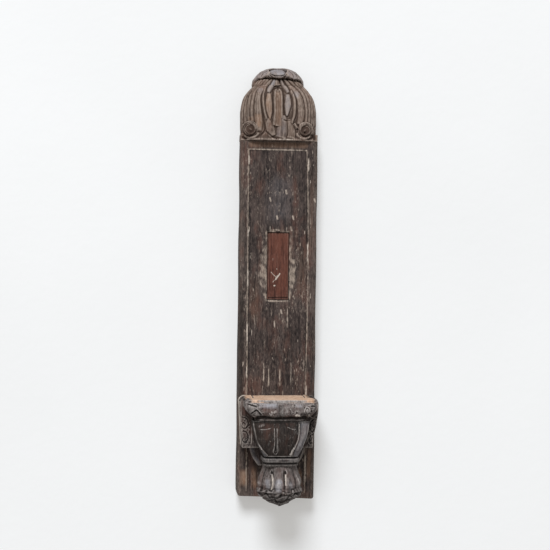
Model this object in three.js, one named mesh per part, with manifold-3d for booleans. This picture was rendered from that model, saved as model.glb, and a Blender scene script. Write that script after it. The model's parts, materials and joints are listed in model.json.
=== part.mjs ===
// A carved wooden door knocker: a long back board with a carved crest, and a hammer that swings on a pin
// near its foot. Millimetres, +Z up. The front faces -Y. The origin is the middle of the flat back, y = 0.
import * as THREE from "three";
import { mergeVertices } from "three/addons/utils/BufferGeometryUtils.js";
import Module from "manifold-3d";

const wasm = await Module();
wasm.setup();

// ---------- driving dimensions ----------
const GAP = 0.3; // between pieces that rest on each other

const BOARD = { width: 98.4, length: 454.4, thick: 28, arris: 3, foot: -271.4 };
const FOOT = { corner: 4, skew: 4.4 };
const PANEL = { border: 12, rail: 10.7, depth: 1.2 };
const MORTISE = { width: 28, height: 86, belowTop: 158.5, depth: 20 };
const BEVEL = { side: 9, end: 3, depth: 0.8 }; // worn away round the mortise
const PLUG = { sunk: 2 };

const CREST = { height: 70, halfWidth: 48.6, bulge: 10, lean: -0.7 };
const CREST_BASE = { height: 9, set: 3 };
const VOLUTE = {
  outer: 8.2,
  eye: 3,
  turns: 1.4,
  band: 2.6,
  relief: 3,
  fromSide: 14,
  aboveBase: 13.4,
  shift: -3.2,
};
const CAP = { height: 25, halfWidth: 33.5, bulge: 4 };
const BUTTON = { radius: 10.6, thick: 4.2, lean: 64, forward: 21, below: 8.8, aside: -1.9 };
const BUTTON_STEM = { radius: 3, length: 9 };
const CREST_DOWEL = { radius: 4, spacing: 52, reach: 16 };
const CAP_DOWEL = { radius: 3, reach: 8, fromBack: 8 };

const BLOCK = { aboveFoot: 132.4, height: 62.5, thick: 36, halfTop: 49.2, halfFoot: 46, corner: 8 };
const APRON = { height: 24.5, thick: 18, halfTop: 35, halfFoot: 24 };
const PIN = { radius: 4, nose: 12, clearance: 0.35 }; // nose: from the pin to the block's front and top
const KNUCKLE = { half: 32, footStep: 1.4, pocketGap: 0.8, swingGap: 1.5, wall: 0.5 };
const PEG = { radius: 3.5, spread: 78, inBoard: 18, inBlock: 22 };
const PEG_ROWS = { upper: 30, lower: 54 }; // below the block's top

const CAPITAL = { height: 25.4, thick: 35.8, half: 45.6, rearHalf: 43.6, behind: 1.2 };
const VASE = { height: 43.6, thick: 31.8, halfTop: 35.5, halfFoot: 21.4 };
const COLLAR = { height: 11, half: 22.9, ahead: 8.8 }; // ahead: its middle, in front of the capital's rear
const BUD = { height: 52, radius: 28, lobes: 10, lobeDepth: 2, lobeTurn: 9, ahead: 7.3 };
const SPINDLE = { radius: 5, intoCapital: 12, intoBud: 34 };
const ANVIL = { headRadius: 8, headHeight: 9, shankRadius: 3, shankLength: 14 };
const STRIKE = { headRadius: 7, shankRadius: 2.6, shankLength: 13, sunk: 2, belowBudTop: 25.1 };

const HANGER = { belowTop: 43, width: 56, height: 10, thick: 1.2, recess: 3.5, margin: 4, nailSpread: 46 };
const POCKET = { width: 36, depth: 7, below: 7 }; // behind and below the hanger's teeth, for a nail's head
const NAIL = { headRadius: 2.4, headHeight: 0.9, shankRadius: 0.9, length: 11, clearance: 0.2 };

// ---------- places worked out from them ----------
const boardTop = BOARD.foot + BOARD.length;
const crestFoot = boardTop + GAP;
const crestTop = crestFoot + CREST.height;
const capFoot = crestTop + GAP;
const capTop = capFoot + CAP.height;
const capMiddle = CREST.lean;
const inFront = (depth) => -(BOARD.thick + depth); // y of a point that far in front of the board's face
const panelFace = inFront(-PANEL.depth);
const mortiseCentre = boardTop - MORTISE.belowTop;
const hangerHeight = boardTop - HANGER.belowTop;
const blockTop = BOARD.foot + BLOCK.aboveFoot;
const blockFoot = blockTop - BLOCK.height;
const pin = { y: inFront(BLOCK.thick - PIN.nose), z: blockTop - PIN.nose };
const pocketRadius = BLOCK.thick - PIN.nose - KNUCKLE.wall;
const turningRadius = pocketRadius - KNUCKLE.swingGap;
const hammerRear = BLOCK.thick + CAPITAL.behind; // depths in front of the board's face
const collarCentre = hammerRear + COLLAR.ahead;
const budCentre = hammerRear + BUD.ahead;
const capitalFoot = blockTop - CAPITAL.height;
const vaseTop = capitalFoot - GAP;
const collarTop = vaseTop - VASE.height - GAP;
const budTop = collarTop - COLLAR.height - GAP;
const budFoot = budTop - BUD.height;
const spindleY = inFront((collarCentre + budCentre) / 2);
const strikeHeight = budTop - STRIKE.belowBudTop;
const strikeSeat = budCentre - BUD.radius + STRIKE.sunk;

// ---------- turning shapes into solids and back ----------
function solid(geometry) {
  const bare = geometry.clone();
  bare.deleteAttribute("normal");
  bare.deleteAttribute("uv");
  const merged = mergeVertices(bare, 1e-4);
  return new wasm.Manifold(
    new wasm.Mesh({
      numProp: 3,
      vertProperties: merged.attributes.position.array,
      triVerts: new Uint32Array(merged.index.array),
    }),
  );
}

function geometryOf(manifold) {
  const mesh = manifold.getMesh();
  const geometry = new THREE.BufferGeometry();
  geometry.setAttribute("position", new THREE.BufferAttribute(new Float32Array(mesh.vertProperties), 3));
  geometry.setIndex(new THREE.BufferAttribute(new Uint32Array(mesh.triVerts), 1));
  geometry.computeVertexNormals();
  return geometry;
}

function box(x0, x1, y0, y1, z0, z1) {
  const geometry = new THREE.BoxGeometry(x1 - x0, y1 - y0, z1 - z0);
  return solid(geometry.translate((x0 + x1) / 2, (y0 + y1) / 2, (z0 + z1) / 2));
}

// The turn that lays a shape's own axis, +Y as it is drawn, along a direction.
const turned = (axis) => new THREE.Quaternion().setFromUnitVectors(new THREE.Vector3(0, 1, 0), axis);

// A round rod between two points. It is drawn round its middle, so its flats lie just inside the radius.
function rod(radius, from, to, sides = 20) {
  const start = new THREE.Vector3(...from);
  const along = new THREE.Vector3(...to).sub(start);
  const geometry = new THREE.CylinderGeometry(radius, radius, along.length(), sides);
  geometry.applyQuaternion(turned(along.clone().normalize()));
  geometry.translate(...start.addScaledVector(along, 0.5).toArray());
  return solid(geometry);
}

// The hole for a rod: wide enough at its flats to clear the rod by a gap.
const holeFor = (radius, from, to, gap = GAP, sides = 20) =>
  rod((radius + gap) / Math.cos(Math.PI / sides), from, to, sides);

const extruded = (shape, depth, curveSegments) =>
  new THREE.ExtrudeGeometry(shape, { depth, bevelEnabled: false, curveSegments });

// A flat shape drawn in x and z, as thick as the space between two y values.
function slab(shape, front, back, curveSegments = 8) {
  const geometry = extruded(shape, back - front, curveSegments);
  return solid(geometry.rotateX(Math.PI / 2).translate(0, back, 0));
}

// A solid through closed rings of points, all with the same count, from the bottom up.
function loft(rings) {
  const count = rings[0].length;
  const points = rings.flat();
  const middle = (ring) => ring.reduce((sum, p) => sum.add(p), new THREE.Vector3()).divideScalar(count);
  points.push(middle(rings[0]), middle(rings.at(-1)));
  const faces = [];
  for (let level = 0; level < rings.length - 1; level++)
    for (let i = 0; i < count; i++) {
      const a = level * count + i;
      const b = level * count + ((i + 1) % count);
      faces.push(a, b, b + count, a, b + count, a + count);
    }
  const last = (rings.length - 1) * count;
  for (let i = 0; i < count; i++) {
    const next = (i + 1) % count;
    faces.push(points.length - 2, next, i, points.length - 1, last + i, last + next);
  }
  const geometry = new THREE.BufferGeometry().setFromPoints(points);
  geometry.setIndex(faces);
  return solid(geometry);
}

// A ring with a flat rear, rearHalf either side of the middle, that widens to half further forward.
// Its front is a rounded square: round at power 2, square at a high one.
function bowRing({ z, half, rearHalf = half, front, rear, power = 6, count = 28 }) {
  const ring = [];
  for (let i = 0; i <= count; i++) {
    const angle = Math.PI + (Math.PI * i) / count;
    const x = Math.sign(Math.cos(angle)) * Math.abs(Math.cos(angle)) ** (2 / power);
    const reach = Math.abs(Math.sin(angle)) ** (2 / power);
    const flare = Math.min(1, 2 * reach);
    const side = rearHalf + (half - rearHalf) * flare * (2 - flare);
    ring.push(new THREE.Vector3(side * x, inFront(rear + (front - rear) * reach), z));
  }
  return ring;
}

// A closed ring round an upright axis. radius is a function of the angle; scaleY flattens it.
function roundRing(z, y, radius, count, scaleY = 1, x = 0) {
  const ring = [];
  for (let i = 0; i < count; i++) {
    const angle = (2 * Math.PI * i) / count;
    const r = radius(angle);
    ring.push(new THREE.Vector3(x + r * Math.cos(angle), y + r * Math.sin(angle) * scaleY, z));
  }
  return ring;
}

// How far the outline of a square with rounded corners lies from its middle, at an angle.
const squareness = (angle, power) =>
  (Math.abs(Math.cos(angle)) ** power + Math.abs(Math.sin(angle)) ** power) ** (-1 / power);

// ---------- the board and what is let into it ----------
// The board seen from the front. Its foot is sawn out of square: skew higher at -X than at +X.
function frontOutline() {
  const { foot } = BOARD;
  const { corner, skew } = FOOT;
  const half = BOARD.width / 2;
  const above = boardTop + 1;
  const shape = new THREE.Shape();
  shape.moveTo(-half - 1, above);
  shape.lineTo(-half - 1, foot + skew + corner);
  shape.lineTo(-half, foot + skew + corner);
  shape.absarc(-half + corner, foot + skew + corner, corner, Math.PI, 1.5 * Math.PI);
  shape.absarc(half - corner, foot + corner, corner, 1.5 * Math.PI, 2 * Math.PI);
  shape.lineTo(half + 1, foot + corner);
  shape.lineTo(half + 1, above);
  return shape;
}

// z is drawn as the shape's second coordinate, and rotateX in slab() turns it upright.
function boardBlank() {
  const half = BOARD.width / 2;
  const section = new THREE.Shape();
  section.moveTo(-half, 0);
  section.lineTo(-half, -BOARD.thick + BOARD.arris);
  section.absarc(-half + BOARD.arris, -BOARD.thick + BOARD.arris, BOARD.arris, Math.PI, 1.5 * Math.PI);
  section.absarc(half - BOARD.arris, -BOARD.thick + BOARD.arris, BOARD.arris, 1.5 * Math.PI, 2 * Math.PI);
  section.lineTo(half, 0);
  const stick = extruded(section, BOARD.length, 5).translate(0, 0, BOARD.foot);
  return solid(stick).intersect(slab(frontOutline(), inFront(1), 1, 5));
}

function mortiseBevel() {
  const level = (y, side, end) => {
    const half = MORTISE.width / 2 + side;
    const tall = MORTISE.height / 2 + end;
    return [[-1, -1], [1, -1], [1, 1], [-1, 1]].map(
      ([x, z]) => new THREE.Vector3(x * half, y, mortiseCentre + z * tall),
    );
  };
  const deep = level(panelFace + BEVEL.depth, 0, 0);
  const wide = level(panelFace - 1, BEVEL.side, BEVEL.end);
  return loft([deep, wide]);
}

const pegPlaces = () =>
  ["left", "right"].flatMap((side) =>
    ["upper", "lower"].map((row) => ({
      name: `block_peg_${row}_${side}`,
      x: (side === "left" ? -PEG.spread : PEG.spread) / 2,
      z: blockTop - PEG_ROWS[row],
    })),
  );

const crestDowelPlaces = () => [
  { name: "crest_dowel_left", x: -CREST_DOWEL.spacing / 2 },
  { name: "crest_dowel_right", x: CREST_DOWEL.spacing / 2 },
];

function backboard() {
  const panelHalf = BOARD.width / 2 - PANEL.border;
  const mortiseHalf = MORTISE.width / 2;
  let board = boardBlank()
    .subtract(box(-panelHalf, panelHalf, inFront(1), panelFace, BOARD.foot - 1, boardTop - PANEL.rail))
    .subtract(mortiseBevel())
    .subtract(
      box(
        -mortiseHalf,
        mortiseHalf,
        inFront(1),
        inFront(-MORTISE.depth),
        mortiseCentre - MORTISE.height / 2,
        mortiseCentre + MORTISE.height / 2,
      ),
    )
    .subtract(
      box(
        -HANGER.width / 2 - HANGER.margin,
        HANGER.width / 2 + HANGER.margin,
        -HANGER.recess,
        1,
        hangerHeight - HANGER.height / 2 - HANGER.margin,
        hangerHeight + HANGER.height / 2 + HANGER.margin,
      ),
    )
    .subtract(
      box(
        -POCKET.width / 2,
        POCKET.width / 2,
        -POCKET.depth,
        1,
        hangerHeight - HANGER.height / 2 - POCKET.below,
        hangerHeight,
      ),
    )
    .subtract(
      holeFor(
        ANVIL.shankRadius,
        [0, inFront(1), strikeHeight],
        [0, inFront(-ANVIL.shankLength - GAP), strikeHeight],
      ),
    );
  for (const { x, z } of pegPlaces())
    board = board.subtract(holeFor(PEG.radius, [x, inFront(1), z], [x, inFront(-PEG.inBoard - GAP), z]));
  for (const { x } of crestDowelPlaces())
    board = board.subtract(
      holeFor(
        CREST_DOWEL.radius,
        [x, -BOARD.thick / 2, boardTop - CREST_DOWEL.reach - GAP],
        [x, -BOARD.thick / 2, boardTop + 1],
      ),
    );
  for (const { x } of nailPlaces()) board = board.subtract(nailHole(x, -NAIL.length - GAP));
  return board;
}

function mortisePlug() {
  const half = MORTISE.width / 2 - GAP;
  const tall = MORTISE.height / 2 - GAP;
  return box(
    -half,
    half,
    panelFace + PLUG.sunk,
    inFront(-MORTISE.depth) - GAP,
    mortiseCentre - tall,
    mortiseCentre + tall,
  );
}

// ---------- the crest ----------
// A rounded block, square in plan, that is drawn in towards its top, on a base as wide as the board.
function crestBlock() {
  const outline = [
    [0, 0.97], [0.16, 0.99], [0.34, 1], [0.54, 1], [0.66, 0.98], [0.76, 0.945], [0.84, 0.89], [0.91, 0.815],
    [0.96, 0.75], [1, 0.69],
  ];
  const depth = BOARD.thick + CREST.bulge;
  const rings = outline.map(([share, width]) => {
    const radius = (angle) => CREST.halfWidth * width * squareness(angle, 4);
    const middle = CREST.lean * share ** 2;
    return roundRing(crestFoot + share * CREST.height, 0, radius, 80, depth / CREST.halfWidth, middle);
  });
  const behind = box(-60, 60, 0, 60, crestFoot - 1, crestTop + 1);
  const half = BOARD.width / 2;
  const base = box(-half, half, inFront(-CREST_BASE.set), 0, crestFoot, crestFoot + CREST_BASE.height);
  let crest = loft(rings).subtract(behind).add(base);
  for (const side of [-1, 1]) crest = crest.add(volute(side));
  for (const { x } of crestDowelPlaces())
    crest = crest.subtract(
      holeFor(
        CREST_DOWEL.radius,
        [x, -BOARD.thick / 2, crestFoot - 1],
        [x, -BOARD.thick / 2, crestFoot + CREST_DOWEL.reach + GAP],
      ),
    );
  return crest.subtract(
    holeFor(
      CAP_DOWEL.radius,
      [capMiddle, -CAP_DOWEL.fromBack, crestTop - CAP_DOWEL.reach - GAP],
      [capMiddle, -CAP_DOWEL.fromBack, crestTop + 1],
    ),
  );
}

// A scroll on each lower corner of the crest: a disc with a raised spiral band and an eye.
function volute(side) {
  const centre = {
    x: side * (BOARD.width / 2 - VOLUTE.fromSide) + VOLUTE.shift,
    z: crestFoot + VOLUTE.aboveBase,
  };
  const steps = 30;
  const edge = (inset) =>
    Array.from({ length: steps + 1 }, (_, i) => {
      const angle = Math.PI / 2 + (2 * Math.PI * VOLUTE.turns * i) / steps;
      const radius = VOLUTE.outer - inset - ((VOLUTE.outer - VOLUTE.eye - VOLUTE.band / 2) * i) / steps;
      const out = side * radius * Math.cos(angle);
      return new THREE.Vector2(centre.x + out, centre.z + radius * Math.sin(angle));
    });
  const band = new THREE.Shape([...edge(0), ...edge(VOLUTE.band).reverse()]);
  const face = inFront(CREST.bulge - VOLUTE.relief);
  const disc = new THREE.Shape().absarc(centre.x, centre.z, VOLUTE.outer - 0.5, 0, 2 * Math.PI);
  const eye = new THREE.Shape().absarc(centre.x, centre.z, VOLUTE.eye, 0, 2 * Math.PI);
  return slab(disc, face, -1, 14)
    .add(slab(band, face - VOLUTE.relief, -1))
    .add(slab(eye, face - VOLUTE.relief, -1, 8));
}

function crestCap() {
  const outline = [
    [0, 0.97], [0.1, 1], [0.22, 1], [0.36, 0.985], [0.5, 0.92], [0.64, 0.83], [0.76, 0.73], [0.86, 0.6],
    [0.93, 0.44], [0.985, 0.22], [1, 0.1],
  ];
  const depth = BOARD.thick + CAP.bulge;
  const rings = outline.map(([share, width]) => {
    const radius = (angle) => width * CAP.halfWidth * squareness(angle, 2.6);
    const centre = -(BOARD.thick / 2) * (1 - width);
    return roundRing(capFoot + share * CAP.height, centre, radius, 56, depth / CAP.halfWidth, capMiddle);
  });
  const behind = box(-60, 60, 0, 60, capFoot - 1, capTop + 1);
  const { seat, stemEnd, axis } = buttonPlace();
  const bed = seat.clone().addScaledVector(axis, 20);
  return loft(rings)
    .subtract(behind)
    .subtract(
      holeFor(
        CAP_DOWEL.radius,
        [capMiddle, -CAP_DOWEL.fromBack, capFoot - 1],
        [capMiddle, -CAP_DOWEL.fromBack, capFoot + CAP_DOWEL.reach],
      ),
    )
    .subtract(rod(BUTTON.radius + 1, seat.toArray(), bed.toArray(), 28))
    .subtract(holeFor(BUTTON_STEM.radius, stemEnd.toArray(), bed.toArray()));
}

// The button leans back on the cap: where its underside sits, the end of its stem and which way it faces.
function buttonPlace() {
  const lean = THREE.MathUtils.degToRad(BUTTON.lean);
  const axis = new THREE.Vector3(0, -Math.cos(lean), Math.sin(lean));
  const seat = new THREE.Vector3(
    capMiddle + BUTTON.aside,
    -BUTTON.forward,
    capTop - BUTTON.below - GAP,
  );
  return { axis, seat, stemEnd: seat.clone().addScaledVector(axis, -BUTTON_STEM.length) };
}

function crestButton() {
  const { axis, seat } = buttonPlace();
  const { radius, thick } = BUTTON;
  const stem = BUTTON_STEM;
  const profile = [
    [0, GAP - stem.length], [stem.radius, GAP - stem.length], [stem.radius, GAP], [radius * 0.92, GAP],
    [radius, 0.3 * thick], [radius * 0.93, 0.62 * thick], [radius * 0.7, 0.88 * thick],
    [radius * 0.35, 0.98 * thick], [0, thick],
  ].map(([r, height]) => new THREE.Vector2(r, height));
  const geometry = new THREE.LatheGeometry(profile, 28);
  return solid(geometry.applyQuaternion(turned(axis)).translate(...seat.toArray()));
}

// ---------- the hinge block ----------
function blockOutline() {
  const { halfTop, halfFoot, corner } = BLOCK;
  const shape = new THREE.Shape();
  shape.moveTo(-halfFoot, blockFoot);
  shape.lineTo(halfFoot, blockFoot);
  shape.lineTo(halfTop, blockTop - corner);
  shape.absarc(halfTop - corner, blockTop - corner, corner, 0, Math.PI / 2);
  shape.absarc(-halfTop + corner, blockTop - corner, corner, Math.PI / 2, Math.PI);
  const apron = new THREE.Shape();
  const apronFoot = blockFoot - APRON.height;
  const apronMiddle = blockFoot - APRON.height / 2;
  apron.moveTo(-APRON.halfTop, blockFoot + 1);
  apron.quadraticCurveTo(-APRON.halfTop, apronMiddle, -APRON.halfFoot, apronFoot);
  apron.lineTo(APRON.halfFoot, apronFoot);
  apron.quadraticCurveTo(APRON.halfTop, apronMiddle, APRON.halfTop, blockFoot + 1);
  return { shape, apron };
}

// The block's corner between its top and front is round about the pin, so that the hammer can turn past it.
function hingeBlock() {
  const { shape, apron } = blockOutline();
  const back = inFront(0) - GAP;
  const front = inFront(BLOCK.thick);
  const wide = BLOCK.halfTop + 1;
  const nose = rod(PIN.nose, [-wide, pin.y, pin.z], [wide, pin.y, pin.z], 48);
  const corner = box(-wide, wide, front - 1, pin.y, pin.z, blockTop + 1).subtract(nose);
  const half = KNUCKLE.half + KNUCKLE.pocketGap;
  const pocket = rod(pocketRadius, [-half, pin.y, pin.z], [half, pin.y, pin.z], 48).add(
    box(-half, half, front - 1, back + 1, pin.z, blockTop + 1),
  );
  const mouth = box(-half, half, front - 1, pin.y, pin.z - pocketRadius * 0.7, pin.z + 1);
  let block = slab(shape, front, back, 6)
    .add(slab(apron, inFront(APRON.thick), back, 6))
    .subtract(corner)
    .subtract(pocket)
    .subtract(mouth)
    .subtract(holeFor(PIN.radius, [-wide, pin.y, pin.z], [wide, pin.y, pin.z]));
  for (const { x, z } of pegPlaces())
    block = block.subtract(holeFor(PEG.radius, [x, inFront(-1), z], [x, inFront(PEG.inBlock + GAP), z]));
  return block;
}

// ---------- the hammer ----------
const spindleHole = (foot, top) => holeFor(SPINDLE.radius, [0, spindleY, foot], [0, spindleY, top]);

function hammerCapital() {
  const profile = [
    [0, 0.86, -5], [0.12, 0.87, -5], [0.2, 0.95, -3], [0.45, 0.995, 0],
    [0.7, 1, 0], [0.88, 0.985, -2], [1, 0.93, -6],
  ];
  const rings = profile.map(([share, width, step]) =>
    bowRing({
      z: capitalFoot + share * CAPITAL.height,
      half: CAPITAL.half * width,
      rearHalf: CAPITAL.rearHalf * width,
      front: hammerRear + CAPITAL.thick + step,
      rear: hammerRear,
    }),
  );
  // The knuckle reaches back into the block's pocket, no further from the pin than it can turn there.
  const { half } = KNUCKLE;
  const foot = capitalFoot + KNUCKLE.footStep;
  const root = inFront(hammerRear + 2);
  const turning = rod(turningRadius, [-half, pin.y, pin.z], [half, pin.y, pin.z], 48);
  const knuckle = box(-half, half, root, pin.y + turningRadius, foot, blockTop);
  const clear = turning.add(box(-half, half, root, pin.y, foot, blockTop));
  const spindleEnd = capitalFoot + SPINDLE.intoCapital + GAP;
  return loft(rings)
    .add(knuckle.intersect(clear))
    .subtract(holeFor(PIN.radius, [-half - 1, pin.y, pin.z], [half + 1, pin.y, pin.z], PIN.clearance))
    .subtract(spindleHole(capitalFoot - 1, spindleEnd));
}

function hammerVase() {
  const foot = vaseTop - VASE.height;
  const profile = [
    [0, 0, -4], [0.12, 0.22, -2.4], [0.3, 0.5, -0.8], [0.5, 0.74, 0], [0.72, 0.91, -0.6], [0.9, 1, -2],
    [1, 1, -2.5],
  ];
  const rings = profile.map(([share, spread, step]) => {
    const half = VASE.halfFoot + spread * (VASE.halfTop - VASE.halfFoot);
    const front = hammerRear + VASE.thick + step;
    return bowRing({ z: foot + share * VASE.height, half, front, rear: hammerRear, power: 7 });
  });
  return loft(rings).subtract(spindleHole(foot - 1, vaseTop + 1));
}

function hammerCollar() {
  const foot = collarTop - COLLAR.height;
  const profile = [[0, 0.9], [0.14, 0.98], [0.3, 1], [0.7, 1], [0.86, 0.98], [1, 0.9]];
  const rings = profile.map(([share, width]) =>
    roundRing(
      foot + share * COLLAR.height,
      inFront(collarCentre),
      (angle) => COLLAR.half * width * squareness(angle, 5),
      40,
    ),
  );
  return loft(rings).subtract(spindleHole(foot - 1, collarTop + 1));
}

function hammerBud() {
  const profile = [
    [0, 0.08], [0.03, 0.22], [0.07, 0.36], [0.14, 0.53], [0.25, 0.71], [0.38, 0.79], [0.43, 0.86],
    [0.49, 0.96], [0.58, 1], [0.68, 0.96], [0.8, 0.87], [0.92, 0.78], [1, 0.74],
  ];
  const rings = profile.map(([share, width]) => {
    const lobed = Math.min(1, Math.max(0.3, (share - 0.3) * 5)) * (share > 0.9 ? 0.3 : 1);
    const radius = (angle) => {
      const turned = angle + THREE.MathUtils.degToRad(BUD.lobeTurn);
      const lobe = Math.abs(Math.sin((BUD.lobes * turned) / 2)) - 1;
      return BUD.radius * width + BUD.lobeDepth * lobed * lobe;
    };
    return roundRing(budFoot + share * BUD.height, inFront(budCentre), radius, 80);
  });
  const face = [0, inFront(0), strikeHeight];
  const seat = inFront(strikeSeat);
  return loft(rings)
    .subtract(rod(STRIKE.headRadius + 1, face, [0, seat, strikeHeight], 24))
    .subtract(holeFor(STRIKE.shankRadius, face, [0, seat - STRIKE.shankLength, strikeHeight]))
    .subtract(spindleHole(budTop - SPINDLE.intoBud - GAP, budTop + 1));
}

// A round-headed stud that lies along Y. towards is -1 where its head faces the front and 1 the back.
function stud(radius, height, shankRadius, shankLength, seat, towards) {
  const profile = [
    [0, -shankLength], [shankRadius * 0.5, -shankLength], [shankRadius, -shankLength + 2], [shankRadius, 0],
    [radius, 0], [radius, 0.35 * height], [radius * 0.86, 0.7 * height], [radius * 0.55, 0.93 * height],
    [0, height],
  ].map(([r, y]) => new THREE.Vector2(r, y));
  const geometry = new THREE.LatheGeometry(profile, 20);
  if (towards < 0) geometry.rotateX(Math.PI);
  return solid(geometry.translate(0, seat, 0));
}

const anvilStud = () => {
  const shank = ANVIL.shankLength - PANEL.depth - GAP;
  return stud(ANVIL.headRadius, ANVIL.headHeight, ANVIL.shankRadius, shank, panelFace - GAP, -1);
};

// The strike stud's head ends a gap short of the anvil's.
const strikeStud = () => {
  const seat = inFront(strikeSeat) + GAP;
  const anvilEnd = panelFace - GAP - ANVIL.headHeight;
  const height = anvilEnd - GAP - seat;
  return stud(STRIKE.headRadius, height, STRIKE.shankRadius, STRIKE.shankLength - 2 * GAP, seat, 1);
};

// ---------- the hanger on the back ----------
const nailPlaces = () => [
  { name: "hanger_nail_left", x: -HANGER.nailSpread / 2 },
  { name: "hanger_nail_right", x: HANGER.nailSpread / 2 },
];

const nailHole = (x, end) =>
  holeFor(NAIL.shankRadius, [x, end, hangerHeight], [x, 0, hangerHeight], NAIL.clearance, 10);

// A sawtooth strip: a row of teeth along its lower edge, between two plain ends.
function hangerPlate() {
  const half = HANGER.width / 2;
  const low = hangerHeight - HANGER.height / 2;
  const high = hangerHeight + HANGER.height / 2;
  const toothed = HANGER.nailSpread / 2 - 5;
  const teeth = 9;
  const shape = new THREE.Shape();
  shape.moveTo(-half, high);
  shape.lineTo(-half, low);
  for (let i = 0; i <= teeth; i++) {
    const x = -toothed + (2 * toothed * i) / teeth;
    shape.lineTo(x, low);
    if (i < teeth) shape.lineTo(x + toothed / teeth, low + 2.2);
  }
  shape.lineTo(half, low);
  shape.lineTo(half, high);
  const back = -HANGER.recess + GAP + HANGER.thick;
  let plate = slab(shape, back - HANGER.thick, back);
  for (const { x } of nailPlaces()) plate = plate.subtract(nailHole(x, -HANGER.recess));
  return plate;
}

function hangerNail() {
  const seat = -HANGER.recess + HANGER.thick + 2 * GAP;
  return stud(NAIL.headRadius, NAIL.headHeight, NAIL.shankRadius, NAIL.length - HANGER.recess, seat, 1);
}

// ---------- finishes ----------
function finish(name, color, roughness, metalness = 0) {
  const material = new THREE.MeshStandardMaterial({ color, roughness, metalness });
  material.name = name;
  return material;
}
const darkWood = finish("dark_wood", 0x4a3c36, 0.8);
const hammerWood = finish("hammer_wood", 0x5d514c, 0.65);
const crestWood = finish("crest_wood", 0x6e5a4e, 0.8);
const plugWood = finish("plug_wood", 0x5c3a30, 0.8);
const pegWood = finish("peg_wood", 0x8a6a48, 0.8);
const iron = finish("iron", 0x3a3633, 0.55, 0.9);

// ---------- the assembly ----------
const knocker = new THREE.Group();
knocker.name = "door_knocker";
const board = new THREE.Group();
const hammer = new THREE.Group();
knocker.add(board, hammer);

function place(group, name, shape, material, x = 0, z = 0) {
  const mesh = new THREE.Mesh(geometryOf(shape), material);
  mesh.name = name;
  mesh.position.set(x, 0, z);
  group.add(mesh);
}

place(board, "backboard", backboard(), darkWood);
place(board, "mortise_plug", mortisePlug(), plugWood);
place(board, "crest_block", crestBlock(), crestWood);
place(board, "crest_cap", crestCap(), crestWood);
place(board, "crest_button", crestButton(), crestWood);
for (const { name, x } of crestDowelPlaces()) {
  const foot = [0, -BOARD.thick / 2, boardTop - CREST_DOWEL.reach];
  const head = [0, -BOARD.thick / 2, crestFoot + CREST_DOWEL.reach];
  place(board, name, rod(CREST_DOWEL.radius, foot, head), pegWood, x);
}
place(
  board,
  "cap_dowel",
  rod(
    CAP_DOWEL.radius,
    [capMiddle, -CAP_DOWEL.fromBack, crestTop - CAP_DOWEL.reach],
    [capMiddle, -CAP_DOWEL.fromBack, capFoot + CAP_DOWEL.reach - GAP],
  ),
  pegWood,
);
place(board, "hinge_block", hingeBlock(), darkWood);
for (const { name, x, z } of pegPlaces()) {
  const peg = rod(PEG.radius, [0, inFront(-PEG.inBoard), 0], [0, inFront(PEG.inBlock), 0]);
  place(board, name, peg, pegWood, x, z);
}
place(
  board,
  "hinge_pin",
  rod(PIN.radius, [-BLOCK.halfTop + 1, pin.y, pin.z], [BLOCK.halfTop - 1, pin.y, pin.z]),
  iron,
);
place(board, "anvil_stud", anvilStud(), iron, 0, strikeHeight);
place(board, "hanger_plate", hangerPlate(), iron);
for (const { name, x } of nailPlaces()) place(board, name, hangerNail(), iron, x, hangerHeight);

place(hammer, "hammer_capital", hammerCapital(), hammerWood);
place(hammer, "hammer_vase", hammerVase(), hammerWood);
place(hammer, "hammer_collar", hammerCollar(), hammerWood);
place(hammer, "hammer_bud", hammerBud(), hammerWood);
place(
  hammer,
  "hammer_spindle",
  rod(
    SPINDLE.radius,
    [0, spindleY, budTop - SPINDLE.intoBud],
    [0, spindleY, capitalFoot + SPINDLE.intoCapital],
  ),
  pegWood,
);
place(hammer, "strike_stud", strikeStud(), iron, 0, strikeHeight);

export default knocker;
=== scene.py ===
import json
import math

import bpy
import numpy as np
from mathutils import Matrix, Vector

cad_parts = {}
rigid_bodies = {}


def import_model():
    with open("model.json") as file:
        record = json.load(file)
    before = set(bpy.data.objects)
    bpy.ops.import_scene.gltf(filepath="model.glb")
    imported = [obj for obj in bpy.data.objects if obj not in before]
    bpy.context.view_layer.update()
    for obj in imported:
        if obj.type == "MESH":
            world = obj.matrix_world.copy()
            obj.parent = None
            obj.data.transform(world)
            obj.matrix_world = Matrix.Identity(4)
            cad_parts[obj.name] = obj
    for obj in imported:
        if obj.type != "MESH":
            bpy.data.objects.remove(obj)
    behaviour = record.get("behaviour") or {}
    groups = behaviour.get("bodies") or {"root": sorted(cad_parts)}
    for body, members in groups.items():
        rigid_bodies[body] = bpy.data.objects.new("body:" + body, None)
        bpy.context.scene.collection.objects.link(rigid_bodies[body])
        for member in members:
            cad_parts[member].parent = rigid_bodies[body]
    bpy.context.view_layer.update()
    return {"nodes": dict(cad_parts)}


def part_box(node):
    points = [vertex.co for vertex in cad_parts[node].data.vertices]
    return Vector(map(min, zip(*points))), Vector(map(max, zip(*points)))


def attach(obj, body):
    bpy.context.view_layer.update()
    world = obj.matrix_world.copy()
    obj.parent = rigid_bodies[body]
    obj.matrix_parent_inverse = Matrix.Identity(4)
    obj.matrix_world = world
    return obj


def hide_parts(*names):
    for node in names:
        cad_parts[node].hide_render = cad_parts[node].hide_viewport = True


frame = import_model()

# Places and sizes here are millimetres in the part's own frame, and MM turns them into metres.
MM = 0.001


def corners(node):
    """A CAD node's lowest and highest corner, in millimetres."""
    low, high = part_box(node)
    return np.array(low) / MM, np.array(high) / MM


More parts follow.
